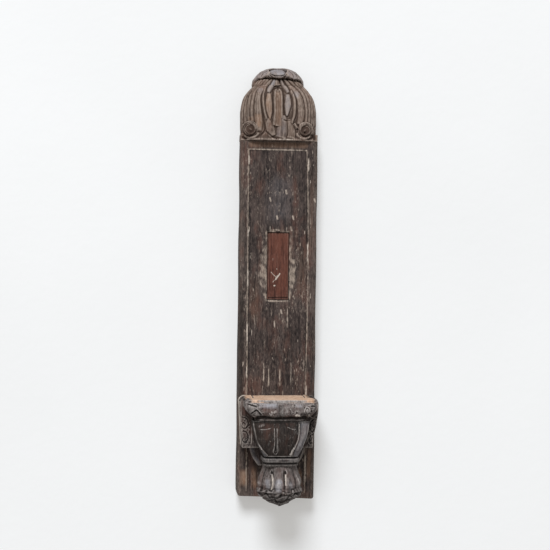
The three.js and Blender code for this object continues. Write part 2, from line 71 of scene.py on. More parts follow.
BOARD_LOW, BOARD_HIGH = corners("backboard")
PLUG_LOW, PLUG_HIGH = corners("mortise_plug")
CREST_LOW, CREST_HIGH = corners("crest_block")
CAP_LOW, CAP_HIGH = corners("crest_cap")
BLOCK_LOW, BLOCK_HIGH = corners("hinge_block")
CAPITAL_LOW, CAPITAL_HIGH = corners("hammer_capital")
VASE_LOW, VASE_HIGH = corners("hammer_vase")
BUD_LOW, BUD_HIGH = corners("hammer_bud")
BUD_MIDDLE = (BUD_LOW + BUD_HIGH) / 2
HANGER_LOW, HANGER_HIGH = corners("hanger_plate")

# ---------- working a mesh ----------


# Blocks that are joined overlap by this much, so that no seam is left between them.
OVERLAP = 0.3


def pick(piece):
    """Makes this piece the only selected one, and the active one."""
    bpy.ops.object.select_all(action="DESELECT")
    piece.select_set(True)
    bpy.context.view_layer.objects.active = piece


def apply_modifier(piece, name, kind, **settings):
    pick(piece)
    modifier = piece.modifiers.new(name, kind)
    for key, value in settings.items():
        setattr(modifier, key, value)
    bpy.ops.object.modifier_apply(modifier=modifier.name)


def rough_block(name, grain_size, *nodes):
    """A block ready for carving: merged copies of CAD nodes under one even skin of small faces."""
    copies = []
    for node in nodes:
        copy = bpy.data.objects.new(name, frame["nodes"][node].data.copy())
        bpy.context.scene.collection.objects.link(copy)
        copy.data.materials.clear()
        copy.location.z = -OVERLAP * MM * len(copies)
        copies.append(copy)
    piece = copies[0]
    pick(piece)
    if len(copies) > 1:
        for copy in copies:
            copy.select_set(True)
        bpy.ops.object.join()
    bpy.ops.object.mode_set(mode="EDIT")
    bpy.ops.mesh.select_all(action="SELECT")
    bpy.ops.mesh.remove_doubles(threshold=0.002 * MM)
    bpy.ops.mesh.normals_make_consistent(inside=False)
    bpy.ops.object.mode_set(mode="OBJECT")
    apply_modifier(piece, "even skin", "REMESH", mode="VOXEL", voxel_size=grain_size * MM)
    if len(copies) > 1:
        keep_outer_skin(piece)
    apply_modifier(piece, "worn corners", "SMOOTH", factor=0.5, iterations=9)
    return piece


def keep_outer_skin(piece):
    """Removes the skins of hollows that lie closed up inside a joined block."""
    depths = read(piece, "co")[:, 1]
    pick(piece)
    bpy.ops.object.mode_set(mode="EDIT")
    bpy.ops.mesh.select_mode(type="VERT")
    bpy.ops.mesh.select_all(action="DESELECT")
    bpy.ops.object.mode_set(mode="OBJECT")
    piece.data.vertices[int(depths.argmin())].select = True
    bpy.ops.object.mode_set(mode="EDIT")
    bpy.ops.mesh.select_linked()
    bpy.ops.mesh.select_all(action="INVERT")
    bpy.ops.mesh.delete(type="VERT")
    bpy.ops.object.mode_set(mode="OBJECT")


def read(piece, what):
    values = np.empty(len(piece.data.vertices) * 3, np.float32)
    piece.data.vertices.foreach_get(what, values)
    return values.reshape(-1, 3).astype(float)


def write(piece, points):
    piece.data.vertices.foreach_set("co", (points * MM).astype(np.float32).ravel())
    piece.data.update()


def rise_between(low, high, value):
    """0 below low, 1 above high, and a smooth rise between them."""
    share = np.clip((value - low) / (high - low), 0, 1)
    return share * share * (3 - 2 * share)


def ripple(points, size, seed, waves=14):
    """A smooth random field over points, about -1 to 1, whose bumps are about this size."""
    dice = np.random.default_rng(seed)
    size = np.broadcast_to(np.asarray(size, float), 3)
    total = np.zeros(len(points))
    for _ in range(waves):
        direction = dice.normal(size=3)
        direction *= 2 * np.pi / (2.2 * size * np.linalg.norm(direction)) * dice.uniform(0.6, 1.7)
        total += np.sin(points @ direction + dice.uniform(0, 2 * np.pi))
    return total / math.sqrt(waves)


def curve_through(corner_points, steps=6):
    """A smooth path through the given points."""
    points = np.array(corner_points, float)
    if len(points) < 3:
        return points
    ends = np.vstack([2 * points[0] - points[1], points, 2 * points[-1] - points[-2]])
    path = []
    for before, start, end, after in zip(ends, ends[1:], ends[2:], ends[3:]):
        for share in np.arange(steps) / steps:
            bend = 2 * before - 5 * start + 4 * end - after
            twist = 3 * start - before - 3 * end + after
            place = 2 * start + (end - before) * share + bend * share**2 + twist * share**3
            path.append(0.5 * place)
    return np.vstack([path, points[-1:]])


def nearest(plan, path):
    """Each point's distance from a path, and how far along it the nearest place is, 0 to 1."""
    far = np.full(len(plan), np.inf)
    along = np.zeros(len(plan))
    if len(path) == 1:
        return np.hypot(*(plan - path[0]).T), along
    for i, (start, end) in enumerate(zip(path, path[1:])):
        run = end - start
        share = np.clip((plan - start) @ run / max(run @ run, 1e-9), 0, 1)
        distance = np.hypot(*(plan - start - share[:, None] * run).T)
        closer = distance < far
        far[closer] = distance[closer]
        along[closer] = (i + share[closer]) / (len(path) - 1)
    return far, along


# Kinds of painted marks; among them a dark mark for grime and painted shade, and a grey mark for a grey
# tone and painted sheen.
MARKS = ("worn", "chalk", "soot", "bare", "warm", "cool")


class Carving:
    """Gouge cuts, raised parts, worn and stained places, painted shade and painted light on the front of a
    piece.

    Paths are (x, height) pairs: x from the middle of the board, height above the piece's foot."""

    def __init__(self, piece, foot=None, box=None):
        self.piece = piece
        self.box = box
        self.points = read(piece, "co") / MM
        self.foot = self.points[:, 2].min() if foot is None else foot
        self.read_skin()
        count = len(self.points)
        self.cut = np.zeros(count)
        self.proud = np.zeros(count)
        self.marks = {name: np.zeros(count) for name in MARKS}
        self.unmarked = np.zeros(count, bool)

    def read_skin(self):
        """Notes which way the skin faces, where it lies in plan, and how far it faces the front."""
        self.normals = read(self.piece, "normal")
        self.plan = np.stack([self.points[:, 0], self.points[:, 2] - self.foot], 1)
        self.front = rise_between(0.15, 0.55, -self.normals[:, 1])

    def reach(self, path, width, taper, profile):
        """How strongly a stroke along a path is felt at each point, 0 to 1."""
        path = curve_through(path)
        wide = max(np.atleast_1d(width))
        low = path.min(0) - wide
        high = path.max(0) + wide
        inside = np.all((self.plan > low) & (self.plan < high), axis=1) & (self.front > 0)
        strength = np.zeros(len(self.plan))
        if not inside.any():
            return strength
        distance, along = nearest(self.plan[inside], path)
        widths = np.atleast_1d(width)
        half = np.interp(along, np.linspace(0, 1, len(widths)), widths) / 2
        across = np.clip(1 - distance / np.maximum(half, 1e-6), 0, 1)
        shape = 1 - (1 - across) ** 2
        if profile == "domed":
            shape = shape**0.65
        if taper and len(path) > 1:
            shape = shape * rise_between(0, taper, along) * rise_between(0, taper, 1 - along)
        strength[inside] = shape * self.front[inside]
        return strength

    def groove(self, path, width, depth, taper=0.2, **marks):
        shape = self.reach(path, width, taper, "dished")
        self.deepen(depth * shape)
        self.mark(shape, **marks)

    def ridge(self, path, width, height, taper=0.2, **marks):
        shape = self.reach(path, width, taper, "domed")
        self.proud = np.maximum(self.proud, height * shape)
        self.mark(shape, **marks)

    def paint_marks(self, path, width, taper=0.0, **marks):
        self.mark(self.reach(path, width, taper, "dished"), **marks)

    def deepen(self, depth):
        self.cut = np.maximum(self.cut, depth)

    def mark(self, shape, **marks):
        """Marks the skin wherever this shape is above 0, each kind by its own strength."""
        for name, strength in marks.items():
            self.marks[name] = np.maximum(self.marks[name], strength * shape)

    def move(self, along_normal):
        """Moves the skin out along its normals by this much, in millimetres."""
        self.points += self.normals * along_normal[:, None]

    def roughen(self, height, size, seed, sunk=0.0, where=1.0):
        """Gives the skin a hand-worked ripple, with bumps of about this height and size."""
        self.move((height * ripple(self.points, size, seed) - sunk) * where)

    def settle(self):
        """Takes the skin as it now lies as the start of the next cuts."""
        write(self.piece, self.points)
        self.read_skin()

    def finish(self):
        """Cuts the strokes into the mesh and writes what the wood finishes read."""
        self.move(self.proud - self.cut)
        if self.box is not None:
            self.points = np.clip(self.points, self.box[0], self.box[1])
        write(self.piece, self.points)
        mesh = self.piece.data
        normals = read(self.piece, "normal")
        edges = mesh_edges(self.piece)
        fine = ((self.points - softened(self.points, edges, 5)) * normals).sum(1)
        broad = ((self.points - softened(self.points, edges, 36)) * normals).sum(1)
        fine_rise = np.clip((fine - 0.02) / 0.14, 0, 1)
        broad_rise = np.clip((broad - 0.05) / 0.5, 0, 1)
        self.marks["ridge"] = 0.6 * fine_rise + 0.5 * broad_rise
        # painted shade: points sunk below the smoothed skin around them are marked, and the wood finish
        # darkens them as shade in the hollows
        fine_dip = np.clip((-fine - 0.02) / 0.16, 0, 1)
        broad_dip = np.clip((-broad - 0.03) / 0.55, 0, 1)
        self.marks["shaded_hollow"] = 0.35 * fine_dip + 0.8 * broad_dip
        for name, values in self.marks.items():
            values = np.where(self.unmarked, 0.0, values)
            layer = mesh.attributes.new(name, "FLOAT", "POINT")
            layer.data.foreach_set("value", np.clip(values, 0, 1).astype(np.float32))


def mesh_edges(piece):
    edges = np.empty(len(piece.data.edges) * 2, np.int32)
    piece.data.edges.foreach_get("vertices", edges)
    return edges.reshape(-1, 2)


def softened(points, edges, passes):
    """The points after each has been moved to the middle of its neighbours, this many times."""
    count = len(points)
    here = np.concatenate([edges[:, 0], edges[:, 1]])
    there = np.concatenate([edges[:, 1], edges[:, 0]])
    links = np.maximum(np.bincount(here, minlength=count), 1)
    soft = points.copy()
    for _ in range(passes):
        soft = np.stack([np.bincount(here, soft[there, k], count) / links for k in range(3)], 1)
    return soft


# ---------- finishes ----------


def tone(red, green, blue):
    """A colour given as 0 to 255 on a screen, as the linear values that a shader reads."""
    shares = [value / 255 for value in (red, green, blue)]
    linear = [s / 12.92 if s <= 0.04045 else ((s + 0.055) / 1.055) ** 2.4 for s in shares]
    return (*linear, 1.0)


class Wire:
    """A shader value that can be used in sums."""

    def __init__(self, finish, socket):
        self.finish = finish
        self.socket = socket

    def maths(self, operation, first, second, clamp=False):
        settings = {"operation": operation, "use_clamp": clamp}
        return self.finish.node("ShaderNodeMath", settings, {0: first, 1: second})

    def __add__(self, other):
        return self.maths("ADD", self, other)

    def __radd__(self, other):
        return self.maths("ADD", other, self)

    def __sub__(self, other):
        return self.maths("SUBTRACT", self, other)

    def __rsub__(self, other):
        return self.maths("SUBTRACT", other, self)

    def __mul__(self, other):
        return self.maths("MULTIPLY", self, other)

    def __rmul__(self, other):
        return self.maths("MULTIPLY", other, self)

    def between(self, low, high):
        """0 where this is at low, 1 where it is at high, and no further."""
        return self.maths("MULTIPLY", self - low, 1 / (high - low), clamp=True)


class Finish:
    """A material, built up node by node."""

    def __init__(self, name, **constants):
        self.material = bpy.data.materials.new(name)
        self.material.use_nodes = True
        self.tree = self.material.node_tree
        self.tree.nodes.clear()
        self.shader = self.tree.nodes.new("ShaderNodeBsdfPrincipled")
        output = self.tree.nodes.new("ShaderNodeOutputMaterial")
        self.tree.links.new(self.shader.outputs["BSDF"], output.inputs["Surface"])
        for key, value in constants.items():
            self.shader.inputs[key.replace("_", " ")].default_value = value

    def node(self, kind, settings=None, values=None, output=0):
        """Any node: its settings first, then the values or links of its sockets."""
        made = self.tree.nodes.new(kind)
        for key, value in (settings or {}).items():
            setattr(made, key, value)
        for key, value in (values or {}).items():
            if isinstance(value, Wire):
                self.tree.links.new(value.socket, made.inputs[key])
            else:
                made.inputs[key].default_value = value
        return Wire(self, made.outputs[output])

    def feed(self, name, wire):
        self.tree.links.new(wire.socket, self.shader.inputs[name])

    def attribute(self, name):
        return self.node("ShaderNodeAttribute", {"attribute_name": name}, output="Fac")

    def noise(self, size, detail=3.0, roughness=0.55, offset=(0, 0, 0)):
        """Noise whose blobs are about this many millimetres along x, y and z."""
        scale = [1 / (s * MM) for s in size]
        at = self.node("ShaderNodeTexCoord", output="Object")
        settings = {"vector_type": "POINT"}
        values = {"Vector": at, "Location": offset, "Scale": scale}
        placed = self.node("ShaderNodeMapping", settings, values)
        values = {"Vector": placed, "Scale": 0.6, "Detail": detail, "Roughness": roughness}
        return self.node("ShaderNodeTexNoise", None, values)

    def mix(self, share, first, second, blend="MIX"):
        settings = {"data_type": "RGBA", "blend_type": blend}
        values = {0: share, 6: first, 7: second}
        return self.node("ShaderNodeMix", settings, values, output=2)

    def bump(self, height, distance, strength=1.0):
        values = {"Height": height, "Distance": distance * MM, "Strength": strength}
        self.feed("Normal", self.node("ShaderNodeBump", None, values))


RUST = (112, 66, 50)
WARM_BROWN = (146, 112, 88)
SHEEN_GREY = (166, 166, 173)
BARE_DEEP, BARE_PALE = (200, 164, 136), (230, 200, 176)
CHALK = (204, 192, 180)
WOOD_GLOSS = 0.2
READ_MARKS = ("ridge", "shaded_hollow", "worn", "chalk", "soot", "bare", "warm", "cool")


def wood(name, dark, middle, light, worn, soot, sheen, wear, flecks, seed):
    """Old hand-carved wood with upright grain, pale rubbed edges and painted shade in the hollows."""
    dark, middle, light, worn, soot = (tone(*colour) for colour in (dark, middle, light, worn, soot))
    finish = Finish(name, Specular_IOR_Level=WOOD_GLOSS)
    ridge, shaded_hollow, rubbed, chalk, shade_and_dirt_marks, bare, warm, cool = map(finish.attribute, READ_MARKS)
    grain = finish.noise((1.1, 3.0, 13), 6.0, 0.7, (seed, 0, 0)).between(0.38, 0.62)
    fibre = finish.noise((0.8, 1.5, 3.2), 4.0, 0.7, (0, seed, 0)).between(0.36, 0.64)
    patch = finish.noise((17, 20, 40), 4.0, 0.6, (0, 0, seed)).between(0.42, 0.60)
    red = finish.noise((11, 20, 30), 4.0, 0.6, (seed, 0, -seed)).between(0.50, 0.62)
    mottle = finish.noise((4, 4, 6), 5.0, 0.7, (seed, seed, 0)).between(0.38, 0.64)
    crack = finish.noise((1.0, 2.0, 24), 4.0, 0.6, (seed, 0, seed)).between(0.42, 0.33)
    band = finish.noise((6, 20, 50), 2.0, 0.5, (-seed, 0, seed)).between(0.46, 0.62)
    fleck = finish.noise((1.0, 1.5, 3.4), 5.0, 0.75, (0, seed, seed)).between(0.56, 0.66)
    rusty = tuple((near + far) / 2 for near, far in zip(middle, tone(*RUST)))
    figure = (grain * 0.42 + fibre * 0.33 + patch * 0.25).between(0.22, 0.74)
    colour = finish.mix(figure, dark, middle)
    colour = finish.mix(red * (0.3 + 0.4 * grain), colour, rusty)
    colour = finish.mix(mottle * fibre * 0.5, colour, light)
    colour = finish.mix(warm * (0.45 + 0.4 * grain), colour, tone(*WARM_BROWN))
    # painted sheen: a pale grey highlight colour, partly the wood's own grey tone
    colour = finish.mix(cool * (0.4 + 0.5 * mottle), colour, tone(*SHEEN_GREY))
    colour = finish.mix(crack * 0.7, colour, soot)
    # painted shade: the hollows darkened towards the dark colour
    colour = finish.mix((shaded_hollow * 1.1).between(0.04, 1.0) * 0.9, colour, soot)
    edge = (ridge * (0.4 + 0.8 * fibre)).between(0.15, 1.0) * wear
    colour = finish.mix(edge, colour, worn)
    colour = finish.mix(fleck * flecks * (0.25 + band), colour, worn)
    # the dark marks: grime in cuts and cracks, and painted shade in undercuts and under overhangs
    colour = finish.mix((shade_and_dirt_marks * (0.8 + 0.4 * mottle)).between(0.1, 1.1) * 0.9, colour, soot)
    colour = finish.mix((rubbed * (0.4 + fibre * 0.9)).between(0.2, 0.9) * 0.8, colour, worn)
    rubbed_bare = finish.mix(grain * 0.7 + patch * 0.3, tone(*BARE_DEEP), tone(*BARE_PALE))
    colour = finish.mix((bare * (0.6 + mottle * 0.7)).between(0.2, 0.9), colour, rubbed_bare)
    colour = finish.mix((chalk * (0.55 + fibre * 0.6)).between(0.3, 0.85), colour, tone(*CHALK))
    finish.feed("Base Color", colour)
    finish.feed("Roughness", 0.72 - 0.26 * sheen * patch - 0.2 * sheen * cool + 0.12 * crack)
    finish.bump(grain * 0.4 + fibre * 0.5 + mottle * 0.3 - crack * 1.0, 0.3, 0.7)
    return finish.material


def forged_iron(name):
    finish = Finish(name)
    scale = finish.noise((2.2, 2.2, 2.2), 5.0, 0.65).between(0.38, 0.64)
    rust = finish.noise((6, 6, 6), 4.0, 0.6, (3, 0, 0)).between(0.48, 0.66)
    colour = finish.mix(scale, tone(44, 42, 42), tone(92, 86, 82))
    colour = finish.mix(rust * 0.7, colour, tone(104, 66, 44))
    finish.feed("Base Color", colour)
    finish.feed("Metallic", 0.85 - 0.6 * rust)
    finish.feed("Roughness", 0.46 + 0.25 * rust + 0.1 * scale)
    finish.bump(scale, 0.15, 0.7)
    return finish.material


BOARD_WOOD = wood(
    "dark board wood",
    dark=(34, 28, 27), middle=(74, 63, 59), light=(104, 90, 84),
    worn=(176, 160, 146), soot=(20, 16, 15),
    sheen=0.5, wear=0.12, flecks=0.6, seed=1,
)
BLOCK_WOOD = wood(
    "dark hinge block wood",
    dark=(34, 28, 27), middle=(74, 64, 61), light=(108, 96, 91),
    worn=(176, 166, 158), soot=(20, 16, 15),
    sheen=0.6, wear=0.6, flecks=0.6, seed=2,
)
CREST_WOOD = wood(
    "brown crest wood",
    dark=(76, 62, 54), middle=(116, 98, 86), light=(142, 126, 116),
    worn=(168, 153, 142), soot=(60, 45, 37),
    sheen=0.6, wear=0.55, flecks=0.2, seed=3,
)
PLUG_WOOD = wood(
    "red plug wood",
    dark=(66, 38, 31), middle=(98, 58, 46), light=(116, 78, 66),
    worn=(138, 106, 94), soot=(34, 20, 16),
    sheen=0.4, wear=0.5, flecks=0.25, seed=7,
)
HAMMER_WOOD = wood(
    "handled hammer wood",
    dark=(62, 54, 51), middle=(108, 99, 96), light=(138, 131, 130),
    worn=(182, 175, 171), soot=(24, 19, 17),
    sheen=0.95, wear=0.65, flecks=0.3, seed=9,
)
VASE_WOOD = wood(
    "dark vase wood",
    dark=(24, 19, 17), middle=(48, 40, 36), light=(74, 65, 60),
    worn=(176, 169, 164), soot=(16, 12, 11),
    sheen=0.9, wear=0.45, flecks=0.25, seed=11,
)
PEG_WOOD = wood(
    "pale peg wood",
    dark=(112, 90, 70), middle=(146, 120, 94), light=(170, 146, 120),
    worn=(190, 170, 148), soot=(50, 36, 28),
    sheen=0.4, wear=0.6, flecks=0.2, seed=13,
)
IRON = forged_iron("forged iron")


def hand_over(piece, body, nodes, material):
    """Gives a finished piece its material and its body, shades it smooth, and hides the CAD nodes that it
    stands for.
    """
    piece.data.materials.clear()
    piece.data.materials.append(material)
    pick(piece)
    bpy.ops.object.shade_smooth()
    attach(piece, body)
    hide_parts(*nodes)


# ---------- the back board ----------

FRONT_STEP = 0.92
ARRIS = 3
PANEL_DEPTH = 0.6
FOOT_CORNER = 4
SIDE_LEVELS = 9


def board_front():
    """The front face as a fine grid, drawn back at its border to the wall side and closed there."""
    width = BOARD_HIGH[0] - BOARD_LOW[0]
    length = BOARD_HIGH[2] - BOARD_LOW[2]
    bpy.ops.object.select_all(action="DESELECT")
    bpy.ops.mesh.primitive_grid_add(
        x_subdivisions=round(width / FRONT_STEP),
        y_subdivisions=round(length / FRONT_STEP),
        size=1,
        location=(0, BOARD_LOW[1] * MM, (BOARD_LOW[2] + length / 2) * MM),
        rotation=(math.pi / 2, 0, 0),
    )
    piece = bpy.context.active_object
    piece.name = piece.data.name = "carved_backboard"
    piece.scale = (width * MM, length * MM, 1)
    bpy.ops.object.transform_apply(location=True, rotation=True, scale=True)
    bpy.ops.object.mode_set(mode="EDIT")
    bpy.ops.mesh.select_all(action="DESELECT")
    bpy.ops.mesh.select_mode(type="EDGE")
    bpy.ops.mesh.select_non_manifold()
    step = (BOARD_HIGH[1] - BOARD_LOW[1] - ARRIS) * MM / SIDE_LEVELS
    for level in range(SIDE_LEVELS):
        back = step + (ARRIS * MM if level == 0 else 0)
        bpy.ops.mesh.extrude_region_move(TRANSFORM_OT_translate={"value": (0, back, 0)})
    bpy.ops.mesh.edge_face_add()
    bpy.ops.object.mode_set(mode="OBJECT")
    return piece


def shape_board(carving):
    """Rounded front edges, the foot sawn a little askew, the sunk panel and a hand-worked surface."""
    points = carving.points
    x, depth, z = points.T
    half = (BOARD_HIGH[0] - BOARD_LOW[0]) / 2
    share = (BOARD_HIGH[2] - z) / (BOARD_HIGH[2] - BOARD_LOW[2])
    foot = BOARD_LOW[2] + 4.4 * np.clip(0.5 - x / (2 * half), 0, 1)
    points[:, 2] = z = BOARD_HIGH[2] - share * (BOARD_HIGH[2] - foot)
    over_x = np.clip(np.abs(x) - (half - FOOT_CORNER), 0, None)
    over_z = np.clip(foot + FOOT_CORNER - z, 0, None)
    out = np.hypot(over_x, over_z)
    pull = np.where(out > FOOT_CORNER, FOOT_CORNER / np.maximum(out, 1e-6), 1)
    points[:, 0] = x = np.sign(x) * (np.minimum(np.abs(x), half - FOOT_CORNER) + over_x * pull)
    points[:, 2] = z = np.where(over_z > 0, foot + FOOT_CORNER - over_z * pull, z)
    side = half - np.abs(x)
    border = np.minimum(side, np.where(out > 0, z - foot + 0.6 * side, z - foot))
    round_off = np.clip(ARRIS - border, 0, ARRIS)
    on_front = depth < BOARD_LOW[1] + 0.5
    drop = ARRIS - np.sqrt(np.maximum(ARRIS**2 - round_off**2, 0))
    points[:, 1] += np.where(on_front, drop * 0.75, 0)
    height = z - carving.foot
    left = np.interp(height, [11, 138, 202, 284, 361, 443], [-37.4, -38, -38.3, -38.6, -39, -38.9])
    right = np.interp(height, [11, 138, 214, 316, 392, 443], [36.6, 36.6, 37.6, 38.2, 37, 35.6])
    inside = rise_between(0, 1, x - left) * rise_between(0, 1, right - x)
    inside *= rise_between(0, 1, 443.4 - height)
    wave = 0.22 * ripple(points, (9, 20, 60), 3) + 0.12 * ripple(points, (2.5, 20, 16), 4)
    points[:, 1] += np.where(on_front, PANEL_DEPTH * inside + np.clip(0.2 + wave, 0, 0.6), 0)
    uneven = np.clip(0.25 + 0.3 * ripple(points, (20, 12, 34), 5), 0, 0.7)
    points[:, 0] -= np.where(side < 1, np.sign(x) * uneven, 0)
    carving.plan = np.stack([points[:, 0], points[:, 2] - carving.foot], 1)
    return on_front


def scribe_board(carving):
    """The scribed lines round the panel, rubbed paler here and there."""
    left = [(-38.9, 443), (-39.1, 361), (-38.7, 284), (-38.4, 202), (-38.1, 138), (-37.4, 11)]
    right = [(35.5, 443), (37.1, 392), (38.4, 316), (37.7, 214), (36.7, 138), (36.7, 8)]
    carving.groove(left, 2.4, 0.3, 0, worn=0.9)
    carving.groove(right, 2.2, 0.3, 0, worn=0.8)
    carving.groove([(-38.6, 443.6), (35, 443.3)], 2.4, 0.3, 0, worn=1, chalk=0.6)
    for start, end in ((298, 262), (232, 190), (172, 150), (440, 420), (345, 330)):
        carving.paint_marks([(-38.6, start), (-38.4, end)], 2.8, 0.3, worn=1, chalk=0.9)
    for start, end in ((438, 412), (330, 296), (150, 120), (68, 12)):
        carving.paint_marks([(37.6, start), (37.3, end)], 2.6, 0.3, worn=1, chalk=0.8)


# Places on the board with their own colour: aged patches, painted shade down both side edges and a faint
# grey painted sheen; path, width and marks.
BOARD_PATCHES = [
    ([(-41, 40), (-40, 14)], 13, {"warm": 0.9, "worn": 0.35}),
    ([(-28, 44), (-27, 10)], 9, {"warm": 0.8, "worn": 0.25}),
    ([(42, 70), (42, 20)], 7, {"warm": 0.6, "worn": 0.2}),
    ([(30, 40), (31, 12)], 8, {"warm": 0.7, "worn": 0.15}),
    ([(-43, 12), (43, 9)], 6, {"worn": 0.3}),
    # painted shade down both rounded side edges
    ([(-45.6, 310), (-45.6, 60)], 9, {"soot": 0.8}),
    ([(44.8, 250), (44.8, 110)], 8, {"soot": 0.6}),
    ([(-30, 290), (-30, 216)], 16, {"warm": 0.16}),
    ([(31, 330), (31, 250)], 14, {"warm": 0.16}),
    ([(42.5, 430), (42.5, 300)], 7, {"warm": 0.2}),
    # a faint grey painted sheen over the upper middle
    ([(0, 420), (0, 340)], 40, {"cool": 0.12}),
]
PALE_STREAKS = [(-17, 176, 146), (3.6, 168, 140), (-10.6, 168, 140), (12.4, 246, 214), (-4, 228, 216)]
PALE_CHIPS = [(-2.1, 359.4), (18.3, 359.4), (9, 392), (-11.2, 382), (15.9, 345.4), (45.5, 382), (4.4, 240)]
FLECKS = 330


def mark_board(carving):
    """The marks that stand out, the stains round them, painted shade down the side edges and painted light
    under the crest.
    """
    # painted light: a warm strip under the crest that lifts the crest's shadow, partly the strip's own
    # reddish-brown
    carving.paint_marks([(-36, 449.6), (33, 449.6)], 9, 0, warm=0.6)
    for x, start, end in PALE_STREAKS:
        carving.paint_marks([(x, start), (x + 0.4, end)], 2, 0.2, worn=1, chalk=0.6)
    for x, height in PALE_CHIPS:
        carving.paint_marks([(x, height), (x + 1, height - 4)], 3.4, 0, worn=1, chalk=0.55)
    for path, width, marks in BOARD_PATCHES:
        carving.paint_marks(path, width, 0.3, **marks)


def fleck_board(carving):
    """Short upright flecks and cracks, most of them along the scribed lines or near the foot."""
    dice = np.random.default_rng(21)
    for _ in range(FLECKS):
        choice = dice.random()
        x = dice.uniform(-46, 46)
        height = dice.uniform(4, 436)
        if choice < 0.4:
            x = dice.choice([-37.5, 37.5]) + dice.normal(0, 3.2)
        elif choice < 0.75:
            height = dice.uniform(88, 215)
        run = dice.gamma(2, 4)
        lean = dice.normal(0, 0.25)
        width = dice.uniform(0.8, 1.35)
        pale = dice.random() < 0.6
        path = [(x, height), (x + lean, height + run)]
        if pale:
            carving.paint_marks(path, width, 0.3, worn=dice.uniform(0.6, 1), chalk=dice.uniform(0, 0.8))
        else:
            carving.groove(path, width, 0.5, 0.3, soot=0.7)


def carve_mortise(carving):
    """A worn, dished border all round the slot that the plug sits in."""
    low, high = PLUG_LOW[2] - carving.foot, PLUG_HIGH[2] - carving.foot
    x, height = carving.plan.T
    tall = [low - 6, low, low + 17, low + 40, low + 56, low + 80, high, high + 5]
    left = np.interp(height, tall, [0.5, 2.5, 9.5, 11.5, 10.5, 5, 3, 0.5])
    right = np.interp(height, tall, [0.5, 1.5, 7.5, 9.6, 7.5, 3.6, 1, 0.5])
    beside = np.maximum((PLUG_LOW[0] - x) / left, (x - PLUG_HIGH[0]) / right)
    above = np.maximum((low - height) / 2.6, (height - high) / 3.4)
    away = np.maximum(beside, above)
    rough = 0.15 * ripple(carving.points, (2.4, 5, 5), 8)
    dish = rise_between(1.1, 0.75, away + rough) * carving.front
    carving.deepen(0.75 * dish * np.clip(1.2 - away, 0, 1))
    grey = dish * np.clip(0.62 + 0.34 * ripple(carving.points, (2.6, 5, 6), 9), 0, 1)
    carving.mark(grey, worn=0.9)
    carving.ridge([(-12, high + 2.6), (-3, high + 3), (4, high + 2.2)], 1.6, 0.1, 0.2, worn=1, chalk=0.5)
    carving.ridge([(-13, low - 2.4), (0, low - 2.2), (12, low - 1.6)], 1.6, 0.1, 0.1, worn=1, chalk=0.5)
    for x, z in ((16, 20), (19, 32), (17, 60), (20, 52), (18, 68), (-17, 24), (-20, 44)):
        carving.groove([(x - 2.5, low + z), (x + 2, low + z + 1)], 1.3, 0.5, 0.2, soot=0.9)


def cut_slots(piece):
    """The plug's slot from the front, and the hanger's recess and nail pocket from behind."""
    gap = 0.3
    board_back = BOARD_HIGH[1]
    slots = [
        (PLUG_LOW - gap, (PLUG_HIGH[0] + gap, PLUG_HIGH[1] + gap, PLUG_HIGH[2] + gap), "front"),
        ((-32, board_back - 3.5, HANGER_LOW[2] - 4), (32, board_back, HANGER_HIGH[2] + 4), "back"),
        ((-18, board_back - 7, HANGER_LOW[2] - 7), (18, board_back, HANGER_LOW[2] + 5), "back"),
    ]
    for low, high, side in slots:
        low, high = np.array(low, float), np.array(high, float)
        if side == "front":
            low[1] = BOARD_LOW[1] - 2
        else:
            high[1] = board_back + 2
        bpy.ops.object.select_all(action="DESELECT")
        bpy.ops.mesh.primitive_cube_add(
            size=1, location=tuple((low + high) / 2 * MM), scale=tuple((high - low) * MM)
        )
        cutter = bpy.context.active_object
        apply_modifier(piece, "slot", "BOOLEAN", operation="DIFFERENCE", object=cutter, solver="EXACT")
        bpy.data.objects.remove(cutter)


def make_board():
    piece = board_front()
    carving = Carving(piece, BOARD_LOW[2], (BOARD_LOW, BOARD_HIGH))
    on_front = shape_board(carving)
    carving.front = np.where(on_front, 1, 0)
    carving.normals = np.where(on_front[:, None], (0, -1, 0), carving.normals)
    scribe_board(carving)
    mark_board(carving)
    fleck_board(carving)
    carve_mortise(carving)
    carving.unmarked = carving.points[:, 1] > BOARD_HIGH[1] - 0.5
    carving.finish()
    cut_slots(piece)
    hand_over(piece, "board", ["backboard"], BOARD_WOOD)
    bpy.ops.object.shade_smooth_by_angle(angle=math.radians(50))


def make_plug():
    piece = rough_block("worn_mortise_plug", 0.6, "mortise_plug")
    carving = Carving(piece)
    carving.roughen(0.15, (2.2, 4, 24), 31, sunk=0.15)
    for path, width in (
        ([(-8.6, 35), (-6.2, 32.2), (-1.5, 27.2), (-5, 23.8), (-6, 22)], 1.2),
        ([(2.6, 33), (0.4, 29.6), (-2.4, 26.4)], 2.4),
        ([(-0.6, 29.8), (-2, 26.6)], 4),
        ([(-4.6, 17.6), (-3.2, 17.9)], 2.6),
        ([(-1.5, 39.5), (-1.2, 38.6)], 1.4),
        ([(-6.5, 52), (-6.3, 50)], 1.2),
    ):
        carving.paint_marks(path, width, 0, chalk=1)
    carving.groove([(-12.5, 84), (-12.6, 40), (-12.4, 2)], 1.6, 0.4, 0, soot=0.8)
    carving.groove([(-12, 2.2), (12, 2.4)], 3, 0.5, 0, soot=0.9)
    carving.finish()
    hand_over(piece, "board", ["mortise_plug"], PLUG_WOOD)


# ---------- the crest ----------

CREST_DEPTH = CREST_HIGH[1] - CREST_LOW[1]
CREST_HALF = 48.6
FLUTE = 3.2


